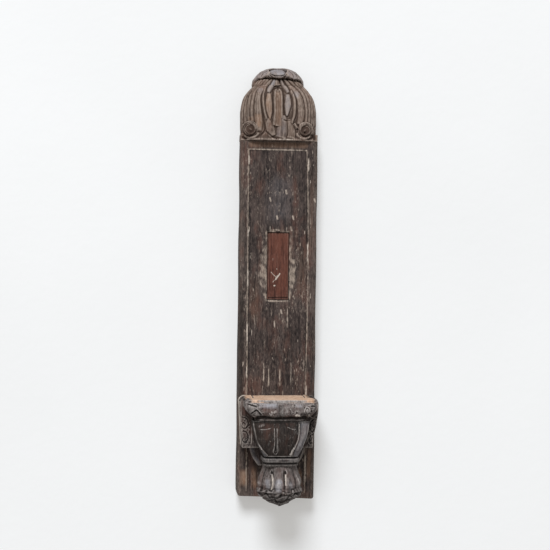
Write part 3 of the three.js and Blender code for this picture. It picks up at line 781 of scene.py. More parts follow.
def around(points, half, depth):
    """Distance round the outline of a square with rounded corners, from the middle of its front."""
    turns = np.linspace(-math.pi / 2, math.pi / 2, 400)
    out = (np.abs(np.cos(turns)) ** 4 + np.abs(np.sin(turns)) ** 4) ** -0.25
    line = np.stack([half * out * np.sin(turns), depth * out * np.cos(turns)], 1)
    run = np.concatenate([[0], np.cumsum(np.hypot(*np.diff(line, axis=0).T))])
    run -= np.interp(0, turns, run)
    turn = np.arctan2(points[:, 0] / half, np.maximum(-points[:, 1], 0) / depth)
    return np.interp(turn, turns, run)


def carve_flutes(carving):
    """Thin upright petals that follow the outline, round the corners and along the sides."""
    reach = around(carving.points, CREST_HALF, CREST_DEPTH)
    height = carving.plan[:, 1]
    wobble = 0.35 * ripple(carving.points, (30, 30, 30), 41)
    wave = np.abs(np.sin(np.pi * (reach / FLUTE + wobble)))
    groove = np.clip(1 - wave / 0.75, 0, 1)
    outside = np.maximum(rise_between(-45, -48, reach), rise_between(43, 46, reach))
    tall = rise_between(12, 18, height) * (carving.normals[:, 1] < 0.6) * (carving.normals[:, 2] < 0.8)
    deep = np.clip(0.8 + 0.3 * ripple(carving.points, (6, 6, 18), 42), 0.2, 1.2)
    carving.deepen(1.5 * groove * outside * tall * deep)


# Domed petals: path, widths along it, how far they stand up, and any marks on them.
CREST_PETALS = [
    ([(-9, 80), (-15.6, 72), (-23, 65), (-27.6, 54.6), (-28.6, 38), (-27.6, 23), (-27.2, 9)],
     (3, 6, 9, 9.5, 10, 10.5, 8.5), 2.8),
    ([(-13.5, 80), (-20, 72), (-30, 63), (-34.3, 51), (-35.6, 36), (-34.2, 20)], 4.8, 2.1),
    ([(-17.5, 79.5), (-24, 72), (-34, 62), (-38.6, 50), (-39.9, 36), (-39, 20.6)], 4, 1.8),
    ([(-21.5, 79), (-28, 71), (-37.8, 60), (-42.3, 49), (-43.6, 36), (-43, 20.4)], 3.6, 1.7),
    ([(-25.5, 78.5), (-31, 70), (-40.6, 58), (-45.6, 47), (-46.8, 35), (-46.4, 19.6)], 3.2, 1.5),
    ([(5, 80), (11, 72), (19.4, 62), (24.4, 51), (26.6, 38), (26, 27), (22.8, 19)],
     (3, 5, 8, 9, 9.5, 9, 6), 2.7),
    ([(9.5, 80), (18, 72), (27, 62), (31.4, 51), (33, 38), (32.2, 20.4)], 4.2, 2),
    ([(14, 79), (22.6, 72), (31.2, 62), (35.6, 51), (37, 38), (36.4, 20.2)], 3.8, 1.8),
    ([(18.6, 78.5), (27, 71), (35, 61), (39.4, 50), (40.8, 37), (40.2, 18.4)], 3.6, 1.7),
    ([(22.6, 78), (30.4, 70), (38.4, 59), (42.8, 48), (44.2, 36), (43.6, 16.4)], 3.4, 1.5),
    ([(-17.6, 69), (-21.6, 57), (-21.4, 45), (-19.8, 34.4), (-17, 25)], 3, 2.4, {"worn": 0.25}),
    ([(-14.4, 60), (-14.8, 46), (-14.2, 36), (-12.9, 25)], (5, 9.6, 8.4, 3.2), 2, {"warm": 0.8}),
    ([(-6, 80), (-9.4, 72), (-13.2, 66), (-15.2, 60)], (3, 6, 6.4, 4), 2.4, {"cool": 0.7}),
    ([(-3.6, 65), (-6.2, 61), (-7, 48), (-6.6, 36), (-7.4, 26), (-8, 17)],
     (3, 3.6, 4, 4, 4.4, 4.6), 2.7, {"worn": 0.2}),
    ([(-2, 65), (0.7, 61), (1.2, 48), (1.1, 36), (2, 26)], (3, 3.6, 4, 4, 4.4), 2.7, {"worn": 0.2}),
    ([(-2.8, 63), (-2.8, 59)], 8.6, 2.4),
    ([(-2.9, 62), (-2.6, 30), (-2, 17)], (9, 11, 13), 2.5, {"warm": 0.45}),
    ([(-3.6, 80), (-4.6, 74), (-4, 70)], (4, 9, 12), 2.8, {"worn": 0.3}),
    ([(0.5, 80), (3.6, 72), (7.4, 67), (10.4, 60)], (2.6, 4.6, 5.4, 4), 2.4, {"cool": 0.4}),
    ([(9.4, 59), (9.4, 45), (8.2, 30)], (5, 9.2, 3.4), 2, {"cool": 0.55}),
    ([(13.2, 65), (17.2, 54), (18.2, 42), (17.2, 30), (14, 20)], 3.8, 2.3, {"worn": 0.15}),
    ([(4.4, 32), (3.4, 22), (2.8, 13), (0, 2)], (5, 12, 16, 15), 2.2, {"cool": 0.2}),
    ([(-15.4, 28), (-14, 19), (-11.6, 13), (-8, 5)], (4, 10, 12, 12), 2, {"worn": 0.15}),
    ([(10.6, 27), (12.4, 18), (14, 10), (13, 2)], (4, 9, 12, 12), 2, {"worn": 0.1}),
    ([(17, 21.5), (21.4, 15)], 4.2, 2.2, {"worn": 0.5}),
]

# Cuts between and inside them: path, widths, depth and how much darker they are painted.
CREST_CUTS = [
    ([(-19.6, 66), (-24, 55), (-24.4, 44.5), (-22.6, 33), (-20.4, 22), (-19.2, 15), (-21.2, 9.6),
      (-26, 4.6)], (1.4, 2.2, 2.4, 2.4, 2.4, 2.6, 2.8, 2.4), 1.3, 0.55),
    ([(13.4, 67), (19.6, 54), (20.8, 42), (19.8, 31), (16.8, 23.6), (18.6, 17.4), (24, 12)],
     (1.2, 1.8, 2, 2.2, 2.2, 2.2, 2), 1.1, 0.5),
    ([(-17.6, 59), (-19.4, 46), (-17.8, 35), (-12.9, 23.6)], 1.4, 1.2, 0.45),
    ([(-12.6, 23.6), (-10.2, 33), (-9.7, 44), (-9.7, 56), (-9.7, 62)], 1.7, 1.5, 0.75),
    ([(12.6, 59), (14.4, 48), (12.4, 38), (8.2, 28)], 1.4, 1.1, 0.45),
    ([(8, 28), (5.2, 35), (4.4, 44), (4.4, 54), (5, 61)], 1.6, 1.4, 0.7),
    ([(-9.9, 60), (-8.8, 65.2), (-3.1, 67.6), (2.4, 66.4), (5, 61)], 2.4, 1.5, 0.95),
    ([(-2.9, 58), (-2.8, 43), (-2.5, 27)], (1, 1.5, 1), 0.4, 0.25),
    ([(-19.6, 12.6), (-12.9, 6.6), (-8, 3.2), (-3.2, 1.2)], 2.4, 1.2, 0.9),
    ([(-8, 20), (-6.4, 12), (-5.4, 6)], 1.6, 0.7, 0.3),
    ([(8.4, 21), (9.6, 13), (9.2, 5)], 1.5, 0.7, 0.25),
    ([(17, 20), (19.2, 14), (19.8, 7), (18.6, 2)], 2, 0.8, 0.35),
    ([(11.4, 27.8), (11.7, 27.6)], 2.6, 1.6, 1),
    ([(3.6, 26), (8, 24.6), (13, 25.6)], 2, 1, 0.6),
    ([(-5.6, 70), (-5.2, 68.6)], 1.2, 0.5, 0.2),
    ([(-28.4, 60), (-30.4, 46), (-30.6, 30), (-30, 16)], 1.2, 0.5, 0.2),
    ([(-27.6, 50), (-27.2, 36), (-26.4, 22)], 1.2, 0.35, 0.15),
    ([(25, 56), (28, 44), (28.2, 30)], 1.2, 0.4, 0.15),
]
CREST_GROUND = 2.4


def carve_crest(carving):
    for path, widths, height, *marks in CREST_PETALS:
        carving.ridge(path, widths, height, 0.05, **dict(*marks))
    for path, widths, depth, soot in CREST_CUTS:
        carving.groove(path, widths, depth, 0.1, soot=soot)
    carving.paint_marks([(-27.4, 34), (-27.2, 14)], 11, 0.2, warm=0.95)
    carving.paint_marks([(-36, 30), (-36, 22)], 9, 0.2, warm=0.6)
    # a grey tone with painted sheen on the right of the arch and at the upper left
    carving.paint_marks([(22, 62), (18, 54)], 9, 0.2, cool=0.6)
    carving.paint_marks([(-24, 66), (-26, 58)], 9, 0.2, cool=0.35)


# The curl at each lower corner: where its middle is, and the side that it winds in from.
CURLS = ((-38.4, -1), (32, 1))
CURL_HEIGHT = 13.2
CURL_RADIUS = 9.4


def carve_scrolls(carving):
    """A curl at each lower corner: a pale rim that winds in from the side round a dark disc."""
    for middle, side in CURLS:
        x, height = carving.plan.T
        disc = rise_between(CURL_RADIUS, 7.6, np.hypot(x - middle, height - CURL_HEIGHT)) * carving.front
        carving.move(-1.5 * disc)
        carving.mark(disc, soot=0.9)
        turns = np.linspace(-0.34, 0.86, 24) * 2 * math.pi
        size = np.interp(turns, [turns[0], 0, math.pi, turns[-1]], [9.8, 8, 6.4, 3.2])
        across, up = middle - side * size * np.sin(turns), CURL_HEIGHT + size * np.cos(turns)
        curl = list(zip(across, up))
        carving.ridge(curl[:13], (3.2, 4.4, 4.6, 3.6), 2.4, 0.08, worn=0.6)
        carving.ridge(curl[11:20], (3.6, 3, 2), 1.6, 0.1, worn=0.1)
        carving.ridge([(middle, 13.4), (middle - side * 1.2, 12.2)], 3.4, 1.2, 0, worn=0.3)
        low = [(11.4, 10.4), (9.4, 6), (5.6, 3.6), (0.6, 2.6), (-4, 4.4), (-6.6, 7.4)]
        low = [(middle - side * aside, up) for aside, up in low]
        carving.ridge(low, (4.2, 3.6, 2.4), 2, 0.1, worn=0.55)
        outer = [(middle + side * 10.8, 9), (middle + side * 9.4, 4.6), (middle + side * 2, 1.4)]
        carving.groove(outer, 2.8, 1, 0.1, soot=0.6)


def make_crest():
    piece = rough_block("carved_crest", 0.62, "crest_block", "crest_cap")
    box = (np.minimum(CREST_LOW, CAP_LOW), np.maximum(CREST_HIGH, CAP_HIGH))
    carving = Carving(piece, CREST_LOW[2], box)
    sink_cap_foot(carving)
    carve_flutes(carving)
    carve_crest(carving)
    carve_scrolls(carving)
    edge = rise_between(3, 1.2, carving.plan[:, 1]) * (carving.points[:, 1] < BOARD_LOW[1] + 4)
    chips = 0.6 + 0.4 * ripple(carving.points, (6, 6, 3), 44)
    carving.mark(edge * np.clip(chips, 0, 1), worn=1)
    carving.paint_marks([(-3, 1), (17, 0.8)], 3, 0.1, chalk=0.75)
    carving.roughen(0.1, (3, 3, 8), 43)
    carve_cap(carving)
    carving.finish()
    hand_over(piece, "board", ["crest_block", "crest_cap"], CREST_WOOD)


CAP_LIFT = CAP_LOW[2] - CREST_LOW[2]
CAP_MIDDLE = -0.7
# The height of the hanging petal tips over the cap's foot, from left to right.
CAP_HEM_X = [-37, -32, -27.4, -24.2, -18.5, -13, -9, -2, 5, 8, 9.4, 15, 18, 22.8, 26.7, 31]
CAP_HEM_HEIGHT = [1.8, 6.2, 8.4, 8.4, 10.6, 9.2, 10.4, 9.2, 10.4, 8.6, 10.2, 8.6, 7.4, 8.2, 6.2, 1.8]
# The lines between the cap's petals, each from its foot to its top.
CAP_PETAL_LINES = [
    ((-25, 10.2), (-15, 20)), ((-31, 8), (-19, 19.6)), ((-35, 4), (-24, 16)),
    ((18, 9.4), (11, 19.6)), ((24, 8.6), (14.5, 19.8)), ((30, 5), (19.5, 17)),
]


def sink_cap_foot(carving):
    """Brings the cap's foot back in line with the crest, under the hanging petal tips."""
    x, height = carving.plan.T
    height = height - CAP_LIFT
    hem = np.interp(x, CAP_HEM_X, CAP_HEM_HEIGHT)
    crest_front = -24.3 + 5 * (np.abs(x - CAP_MIDDLE) / 30) ** 4 + 0.12 * height
    below = rise_between(hem + 0.3, hem - 0.7, height) * (height > -1) * (carving.points[:, 1] < -12)
    sunk = np.maximum(carving.points[:, 1], crest_front)
    carving.points[:, 1] += below * (sunk - carving.points[:, 1])
    x, height = carving.plan.T
    ground = carving.front * rise_between(0, 5, height) * rise_between(49, 42, np.abs(x))
    ground *= rise_between(CAP_LIFT + 0.2, CAP_LIFT - 0.4, height)
    in_curl = np.zeros(len(x), bool)
    for middle, _ in CURLS:
        in_curl |= np.hypot(x - middle, height - CURL_HEIGHT) < 9.5
    shallow = np.where(in_curl, 0, np.interp(height, [10, 30], [0.65, 1]))
    carving.move(-CREST_GROUND * ground * shallow)
    soft = softened(carving.points, mesh_edges(carving.piece), 24)
    near = np.exp(-(((height - CAP_LIFT) / 2.2) ** 2)) * (carving.points[:, 1] < -12)
    near *= rise_between(32, 28, np.abs(x - CAP_MIDDLE))
    carving.points += near[:, None] * (soft - carving.points)
    carving.settle()


def carve_cap(carving):
    """The low dome over the crest, whose hanging petal tips shade the crest's petals."""
    carving.plan[:, 1] -= CAP_LIFT
    g, r = carving.groove, carving.ridge
    x, height = carving.plan.T
    on_cap = height > -1
    hem = np.interp(x, CAP_HEM_X, CAP_HEM_HEIGHT)
    above = rise_between(hem - 0.6, hem + 0.6, height)
    carving.proud *= 1 - above * on_cap
    # painted highlight: a grey sheen over the cap above the petal tips
    cool = 0.55 * rise_between(hem, hem + 2, height)
    carving.mark(cool * on_cap, cool=1)
    # undercuts below the hanging petal tips, darkened with painted shade
    g([(-36.5, 1.5), (-32.5, 5.4), (-28.4, 8), (-24.6, 8.6)], (2.4, 5, 5.4, 2.6), 2.4, 0.08, soot=1)
    g([(-24, 8.6), (-18.8, 10.3), (-14.2, 10.1), (-11.4, 8.6)], (1.8, 5, 4.6, 1.6), 2.8, 0.08, soot=1)
    g([(5.4, 8.4), (9.4, 9.6), (13.3, 9), (17, 7.4)], (1.8, 5.2, 4.8, 1.8), 2.8, 0.08, soot=1)
    g([(17.5, 7.6), (22.8, 7.8), (27.2, 6), (31.5, 2)], (2.4, 4.6, 5, 2.4), 2.4, 0.08, soot=1)
    crescent = [(-13.4, 15.4), (-10.6, 11.6), (-2.4, 8.9), (6.2, 11.6), (9.2, 15.4)]
    g(crescent, (2, 3.6, 5, 3.6, 2), 2.2, 0.08, soot=1)
    # the petals above them
    r([(-17.6, 11.6), (-14.6, 14.8), (-12.4, 18.4)], (2, 4.6, 2), 0.9, 0.1, worn=0.8)
    r([(11, 11.2), (8.9, 13.9), (7.4, 17.4)], (2, 4.2, 2), 0.9, 0.1, worn=0.9)
    for foot, top in CAP_PETAL_LINES:
        side = math.copysign(1.2, foot[0])
        between = ((foot[0] + top[0]) / 2 + side, (foot[1] + top[1]) / 2 + 1.4)
        g([foot, between, top], 1.7, 0.9, 0.15, soot=0.6)
    # upright gouge cuts round the sides
    turn = np.arctan2(carving.points[:, 0] - CAP_MIDDLE, -(carving.points[:, 1] + 9))
    ring = np.abs(np.sin(turn * 7))
    behind = (np.abs(turn) > 1.1) & (carving.normals[:, 1] < 0.7) & on_cap
    fall = rise_between(3, 6, height) * rise_between(23, 19, height)
    carving.deepen(np.where(behind, np.clip(1 - ring / 0.5, 0, 1) * fall, 0))
    carving.roughen(0.12, (3, 3, 4), 52, where=on_cap)
    carving.plan[:, 1] += CAP_LIFT


def make_button():
    button = rough_block("carved_crest_button", 0.4, "crest_button")
    carving = Carving(button)
    carving.roughen(0.12, (4, 4, 4), 53, sunk=0.1)
    # painted sheen: the button is greyed as a highlight
    carving.marks["cool"] += 0.8
    carving.finish()
    hand_over(button, "board", ["crest_button"], CREST_WOOD)


# ---------- the hinge block ----------


BLOCK_TOP = BLOCK_HIGH[2] - BLOCK_LOW[2]
CHEEK_INSIDE = 36
# The walls of the pocket, nearer the middle than this, stay smooth for the hammer.
POCKET_HALF = 33.6
CHEEK_SCROLLS = [
    [(-47, 62.2), (-41.5, 61.6), (-38.4, 56), (-40.8, 49.4), (-45.4, 50), (-45.2, 55.6), (-42, 55.4)],
    [(-46.4, 45.4), (-41, 44.4), (-38.4, 38), (-41.6, 31.8), (-45.4, 34), (-43.6, 38.6)],
    [(44.6, 61), (40, 57), (38.2, 50), (41.4, 44), (44, 49)],
    [(43.6, 41), (39.6, 40), (37.8, 33.6), (40, 28.6)],
]


def narrow_right_cheek(carving):
    """Draws the right cheek in towards its foot."""
    x, height = carving.plan.T
    narrow = 0.4 * rise_between(68, 26, height)
    drawn_in = CHEEK_INSIDE + (x - CHEEK_INSIDE) * (1 - narrow)
    carving.points[:, 0] = np.where(x > CHEEK_INSIDE, drawn_in, x)
    carving.settle()


def carve_cheeks(carving):
    """Scroll work and wormholes on the cheeks beside the hammer."""
    for path in CHEEK_SCROLLS:
        carving.groove(path, 1.7, 1.2, 0.1, soot=0.5)
    dice = np.random.default_rng(61)
    for side in (-1, 1):
        for i in range(40):
            x = side * dice.uniform(CHEEK_INSIDE, 47)
            z = dice.uniform(27, 64)
            if i % 3 == 0:
                scratch = [(x, z), (x + dice.normal(0, 1), z + dice.normal(0, 2))]
                carving.paint_marks(scratch, 1.2, worn=0.9)
            else:
                hole = [(x, z), (x + 0.2, z + 0.4)]
                carving.groove(hole, dice.uniform(1.2, 2), dice.uniform(0.6, 1.2), 0, soot=0.7)
    carving.mark(0.3 * carving.front, soot=1)


def wear_block(carving):
    """Rubbed edges, pale sides and the bare top."""
    x, height = carving.plan.T
    depth = carving.points[:, 1] - BOARD_LOW[1]
    # the back edge, where the block meets the board
    back_edge = rise_between(-3.2, -1.8, depth) * (np.abs(carving.normals[:, 1]) < 0.8)
    rubbed = np.where(x > 30, 0.55, 1) * rise_between(26, 34, height)
    rubbed *= np.where((x > 30) & (height < 60), 0.5, 1)
    carving.mark(back_edge * rubbed, worn=1, chalk=0.55)
    # the sides of the cheeks have gone pale and chalky
    outside = np.abs(x) > 40
    side = rise_between(0.5, 0.9, np.abs(carving.normals[:, 0])) * outside
    shoulder = (carving.normals[:, 2] > 0.2) & outside
    side = np.where(shoulder, rise_between(-16, -10, depth), side)
    patchy = rise_between(-0.9, 0.3, ripple(carving.points, (12, 6, 9), 63) + (depth + 22) / 9)
    side *= rise_between(22, 28, height) * patchy
    carving.mark(np.where(x < 0, 1, 0.45) * side, worn=1, chalk=0.9)
    # rubbed edges round the pocket, down the cheeks and along the apron
    carving.paint_marks([(-34.4, 62), (-34.2, 28)], 1.8, 0.1, worn=0.9)
    carving.paint_marks([(35, 58), (35.4, 30)], 1.6, 0.1, worn=0.7)
    carving.paint_marks([(47.6, 64), (45.8, 45), (43.4, 27)], 2.2, 0.1, worn=1, chalk=0.6)
    carving.paint_marks([(-37.2, 25.7), (-34.8, 14.4), (-28.4, 2.3), (-23.6, 0.2)], 2.4, 0, worn=1, chalk=0.3)
    carving.paint_marks([(-33, 22), (-30, 11), (-25, 4)], 8, 0, cool=0.5)
    carving.paint_marks([(33.8, 23.2), (29.8, 11.9), (25.4, 3.1), (23.5, 0.6)], 2, 0, worn=0.9)
    carving.paint_marks([(30, 20), (26, 8)], 7, 0, cool=0.2)
    rim = rise_between(-3, -1.6, depth) * (carving.normals[:, 2] > 0.3)
    carving.mark(rim * (height > BLOCK_TOP - 8), chalk=0.6)
    # bare wood where the top has been rubbed
    flat = rise_between(0.6, 0.9, carving.normals[:, 2]) * (height > BLOCK_TOP - 12)
    middle = rise_between(-46, -38, x) * rise_between(44, 30, x)
    carving.mark(flat * middle, bare=1)
    carving.mark(flat * (1 - middle), soot=0.7)


def make_block():
    piece = rough_block("carved_hinge_block", 0.6, "hinge_block")
    carving = Carving(piece, BLOCK_LOW[2], (BLOCK_LOW, BLOCK_HIGH))
    narrow_right_cheek(carving)
    carve_cheeks(carving)
    wear_block(carving)
    carving.roughen(0.14, (4, 6, 10), 62, where=np.abs(carving.points[:, 0]) > POCKET_HALF)
    carving.finish()
    hand_over(piece, "board", ["hinge_block"], BLOCK_WOOD)


# ---------- the hammer ----------


def swell_pillow(carving):
    """A swelling pillow, fullest above its middle, and drawn in at its foot, ends and top edge."""
    carving.points[:, 0] *= 1 - 0.16 * rise_between(17, 2, carving.plan[:, 1])
    carving.settle()
    x, height = carving.plan.T
    wave = 1.3 * np.cos(2 * np.pi * (x + 9) / 27) + 0.8 * np.cos(2 * np.pi * (x - 4) / 15)
    sag = 5.5 * (1 - (x / 41) ** 2)
    pillow = 2.4 * rise_between(14, 5, height + wave + sag) + 2.2 * rise_between(18, 25.4, height) ** 2
    pillow += 1.6 * rise_between(38, 45.6, np.abs(x))
    swell = 0.8 * np.cos(2 * np.pi * (x + 4) / 34)
    carving.move(-(pillow + 0.5 * (1 - swell)) * carving.front)


def carve_pillow(carving):
    """Leaf tips, knocks and shiny places with painted sheen on the front, from left to right."""
    g, r = carving.groove, carving.ridge
    # painted sheen: grey highlights across the pillow's front
    carving.paint_marks([(-30, 20.5), (-4, 20)], 10, 0.2, cool=1)
    carving.paint_marks([(14, 20), (26, 19)], 7, 0.3, cool=0.5)
    g([(-43.4, 20.8), (-37, 19.8), (-29.6, 17.8)], (1.6, 2.4, 1.4), 1.3, 0.15, soot=0.9)
    r([(-42.5, 22.6), (-37, 21.8), (-30.5, 20.4)], 1.8, 0.5, 0.2, worn=0.5)
    zigzag = [(-39.3, 7.2), (-35, 11.2), (-31.4, 13.6), (-28.6, 10.6), (-25.3, 6)]
    g(zigzag, (2, 2.4, 2.8, 2.4, 2), 1.7, 0.08, soot=1)
    r([(-31.2, 9.4), (-31.2, 7.4)], (3, 8), 0.9, 0, worn=0.75)
    r([(-33.6, 17), (-30.1, 14.8), (-25.6, 10.2), (-23.4, 6.4)], 1.3, 0.6, 0.15, worn=0.7)
    r([(-15.8, 6.9), (-11.9, 9.8), (-6.8, 13.2)], (5, 4.6, 2.6), 0.7, 0.15, worn=0.45)
    g([(-20, 6), (-15, 4.6), (-8, 5.2)], 2, 1.1, 0.2, soot=0.9)
    g([(-1.8, 19.3), (0.2, 15.3), (-1.6, 9.9), (2.2, 5)], 1.2, 0.7, 0.1, worn=0.9)
    g([(3.6, 19), (5.6, 14.1), (4.2, 10), (6.6, 6)], 1.2, 0.7, 0.1, worn=0.8)
    g([(8, 15), (10.5, 11), (9, 7)], 1.3, 0.7, 0.2, soot=0.6)
    g([(14.2, 8.2), (17.6, 13.6), (20.8, 8.2)], 1.5, 0.8, 0.05, worn=0.9, chalk=0.5)
    g([(17.6, 11), (17.6, 9.6)], 2.2, 1, 0, soot=1)
    r([(15.6, 6.1), (18.9, 7.2), (23.4, 5)], (2.6, 3.6, 2.2), 0.7, 0.1, worn=1, chalk=0.95)
    r([(28.3, 8.9), (27, 13.2), (29.2, 17.4), (33, 15.6), (33.4, 10.6)], 1.6, 0.8, 0.1, worn=0.9)
    r([(30.4, 13.6), (30.6, 11.4)], 4.6, 0.8, 0, worn=0.7)
    g([(34.6, 18.6), (38, 19), (42.8, 18.2)], (1.4, 2.4, 1.6), 1.2, 0.1, soot=1)
    r([(30, 19.6), (36, 20.2), (42, 19.8)], 1.4, 0.5, 0.15, worn=0.7)
    g([(36, 12.2), (36.3, 12)], 3.4, 1.6, 0, soot=1)
    r([(34.9, 6.1), (34.7, 5.7)], 3, 0.6, 0, chalk=1)
    g([(39, 14.5), (40.5, 10.5), (38, 6)], 1.6, 0.9, 0.15, soot=0.7)
    # small knocks all over it
    dice = np.random.default_rng(73)
    for _ in range(46):
        place = (dice.uniform(-43, 43), dice.uniform(5, 22))
        if dice.random() < 0.5:
            carving.paint_marks([place], dice.uniform(1.4, 2.4), worn=1, chalk=dice.uniform(0.2, 0.7))
        else:
            g([place], dice.uniform(1.4, 2.4), 0.6, soot=0.9)


def wear_capital(carving):
    """The fillet under the pillow, darkened with painted shade, its rubbed ends and top edge, and the bare
    top.
    """
    height = carving.plan[:, 1]
    x, y, _ = carving.points.T
    behind_front = y - CAPITAL_LOW[1]
    # painted shade under the pillow darkens the lower fillet, which has a rusty line along it
    under = rise_between(5.6, 3.4, height + 0.8 * ripple(carving.points, (6, 6, 6), 71))
    carving.mark(rise_between(3, 2.2, height), soot=1)
    carving.mark(under, soot=0.5, warm=0.4)
    line = [(-42.7, 5.4), (-24.6, 3.6), (-2.8, 2.8), (19, 2.8), (41, 4.4)]
    carving.groove(line, 1.8, 0.7, 0, soot=0.6)
    left_end = rise_between(-42.6, -44.6, x) * (behind_front < 8)
    carving.mark(left_end * rise_between(4, 7, height), worn=0.7)
    right_end = rise_between(42.6, 44.6, x) * (behind_front < 12)
    carving.mark(right_end * rise_between(2, 5, height), worn=1, chalk=0.8)
    near_top = rise_between(21.5, 24.5, height) * rise_between(0.15, 0.5, carving.normals[:, 2])
    carving.mark(near_top * (behind_front < 9), worn=0.8)
    top = rise_between(0.6, 0.9, carving.normals[:, 2]) * (height > 20) * (behind_front > 7)
    carving.mark(top * rise_between(44, 36, np.abs(carving.plan[:, 0] - 2)), bare=1)
    carving.mark(top * rise_between(CAPITAL_HIGH[1] - 4, CAPITAL_HIGH[1] - 2.4, y), chalk=0.65)


def make_capital():
    piece = rough_block("carved_hammer_capital", 0.52, "hammer_capital")
    carving = Carving(piece, CAPITAL_LOW[2], (CAPITAL_LOW, CAPITAL_HIGH))
    swell_pillow(carving)
    carve_pillow(carving)
    wear_capital(carving)
    carving.roughen(0.16, (7, 7, 5), 72, sunk=0.1)
    carving.finish()
    hand_over(piece, "hammer", ["hammer_capital"], HAMMER_WOOD)


def make_vase():
    piece = rough_block("carved_hammer_vase", 0.5, "hammer_vase")
    carving = Carving(piece, VASE_LOW[2], (VASE_LOW, VASE_HIGH))
    g, r = carving.groove, carving.ridge
    x, height = carving.plan.T
    left = np.interp(height, [2, 9, 14, 20, 30, 40], [-17, -24, -27.5, -31, -33, -34.4])
    right = np.interp(height, [2, 11, 16, 22, 30, 40], [12.8, 15.5, 17.5, 19.8, 20.5, 20.6])
    panel = rise_between(0, 1.4, x - left) * rise_between(0, 1.4, right - x) * carving.front
    carving.deepen(1.3 * panel)
    carving.mark(panel, soot=0.2)
    beside = rise_between(left - 0.4, left - 2.4, x) + rise_between(right + 1, right + 3, x)
    # painted sheen: a grey highlight beside the sunk panel
    carving.mark(0.35 * beside * carving.front, cool=1)
    r(list(zip((-34.4, -33, -31, -27.5, -24), (40, 30, 20, 14, 9))), 1.5, 0.4, 0, worn=0.85)
    r(list(zip((21.2, 21, 20.2, 17.9, 15.6), (40, 30, 22, 16, 10))), 1.6, 0.4, 0, worn=0.75)
    r([(26.8, 40), (26.4, 31), (24, 21), (19, 9)], (10, 9, 7, 5), 0.5, 0, worn=0.4)
    r([(33.4, 40), (32, 30), (28.6, 19), (23.6, 7)], 1.6, 0.3, 0.05, worn=0.9)
    r([(-36, 40), (-35, 32), (-31.6, 20), (-26.6, 9)], 1.4, 0.3, 0.05, worn=0.5)
    g([(-9, 37), (-9.1, 23.5), (-8.9, 12.5), (-10.1, 6.5), (-7.4, 2.2)], 1.3, 0.2, 0.05, worn=0.85)
    g([(-5.9, 37), (-5.3, 23.5), (-4.6, 11.3), (-4.7, 5.7), (-7.4, 2.2)], 1.3, 0.2, 0.05, worn=0.85)
    g([(-7.4, 37), (-7.2, 20), (-7.2, 6)], (1.4, 1.6, 3.2), 2.2, 0.05, soot=1)
    r([(-28.1, 34), (-20.3, 33.9), (-12.1, 35.6)], 1.3, 0.4, 0.15, worn=0.6)
    r([(6.1, 37.3), (11.8, 34.6), (18.3, 33.7)], 1.3, 0.4, 0.15, worn=0.7)
    r([(-30, 36.3), (-25.2, 38), (-19.8, 40)], 4, 0.6, 0.2, worn=0.4)
    r([(14.9, 11.3), (13.4, 7.7), (11.1, 2.6)], (1.6, 2.6, 3), 0.6, 0, worn=1, chalk=0.55)
    for place in ((-13.5, 19.3), (-14, 11.3), (4, 27), (9, 14)):
        carving.paint_marks([place], 2.2, chalk=0.6)
    g([(8, 21), (13, 27)], 1, 0.3, 0.2, worn=0.4)
    # painted shade along the top rim, under the capital
    carving.mark(0.8 * rise_between(40, 42, height), soot=1)
    carving.roughen(0.12, (5, 5, 9), 74, sunk=0.08)
    carving.finish()
    hand_over(piece, "hammer", ["hammer_vase"], VASE_WOOD)


def make_collar():
    piece = rough_block("carved_hammer_collar", 0.45, "hammer_collar")
    carving = Carving(piece)
    height = carving.plan[:, 1]
    # a rounded bead over a hollow darkened with painted shade, a thin lip, and a faint painted sheen on
    # the bead
    shaded_hollow = np.exp(-(((height - 3.2) / 1.7) ** 2)) * (carving.normals[:, 2] < 0.9)
    carving.cut = 2.2 * shaded_hollow + 1.2 * rise_between(8.6, 11, height) ** 2
    carving.marks["soot"] = 0.9 * shaded_hollow
    carving.marks["cool"] = 0.1 * rise_between(4.6, 6, height)
    carving.marks["worn"] = 0.25 * rise_between(8.6, 9.6, height) + 0.4 * rise_between(1.4, 0.6, height)
    carving.roughen(0.12, (4, 4, 3), 76, sunk=0.08)
    carving.finish()
    hand_over(piece, "hammer", ["hammer_collar"], VASE_WOOD)


LOBE_START = math.radians(9)
CHIP_ROW = 8.4


def fill_lower_tier(carving):
    """Brings the bud's rough lower tier out to nearly the width of the upper one."""
    height = carving.plan[:, 1]
    spread = 1 + 0.33 * rise_between(26, 20, height) * rise_between(0, 17, height)
    out = BUD_MIDDLE + (carving.points - BUD_MIDDLE) * spread[:, None]
    in_front = carving.points[:, 1] < BUD_MIDDLE[1]
    carving.points[:, 0] = out[:, 0]
    carving.points[:, 1] = np.where(in_front, out[:, 1], carving.points[:, 1])
    carving.settle()


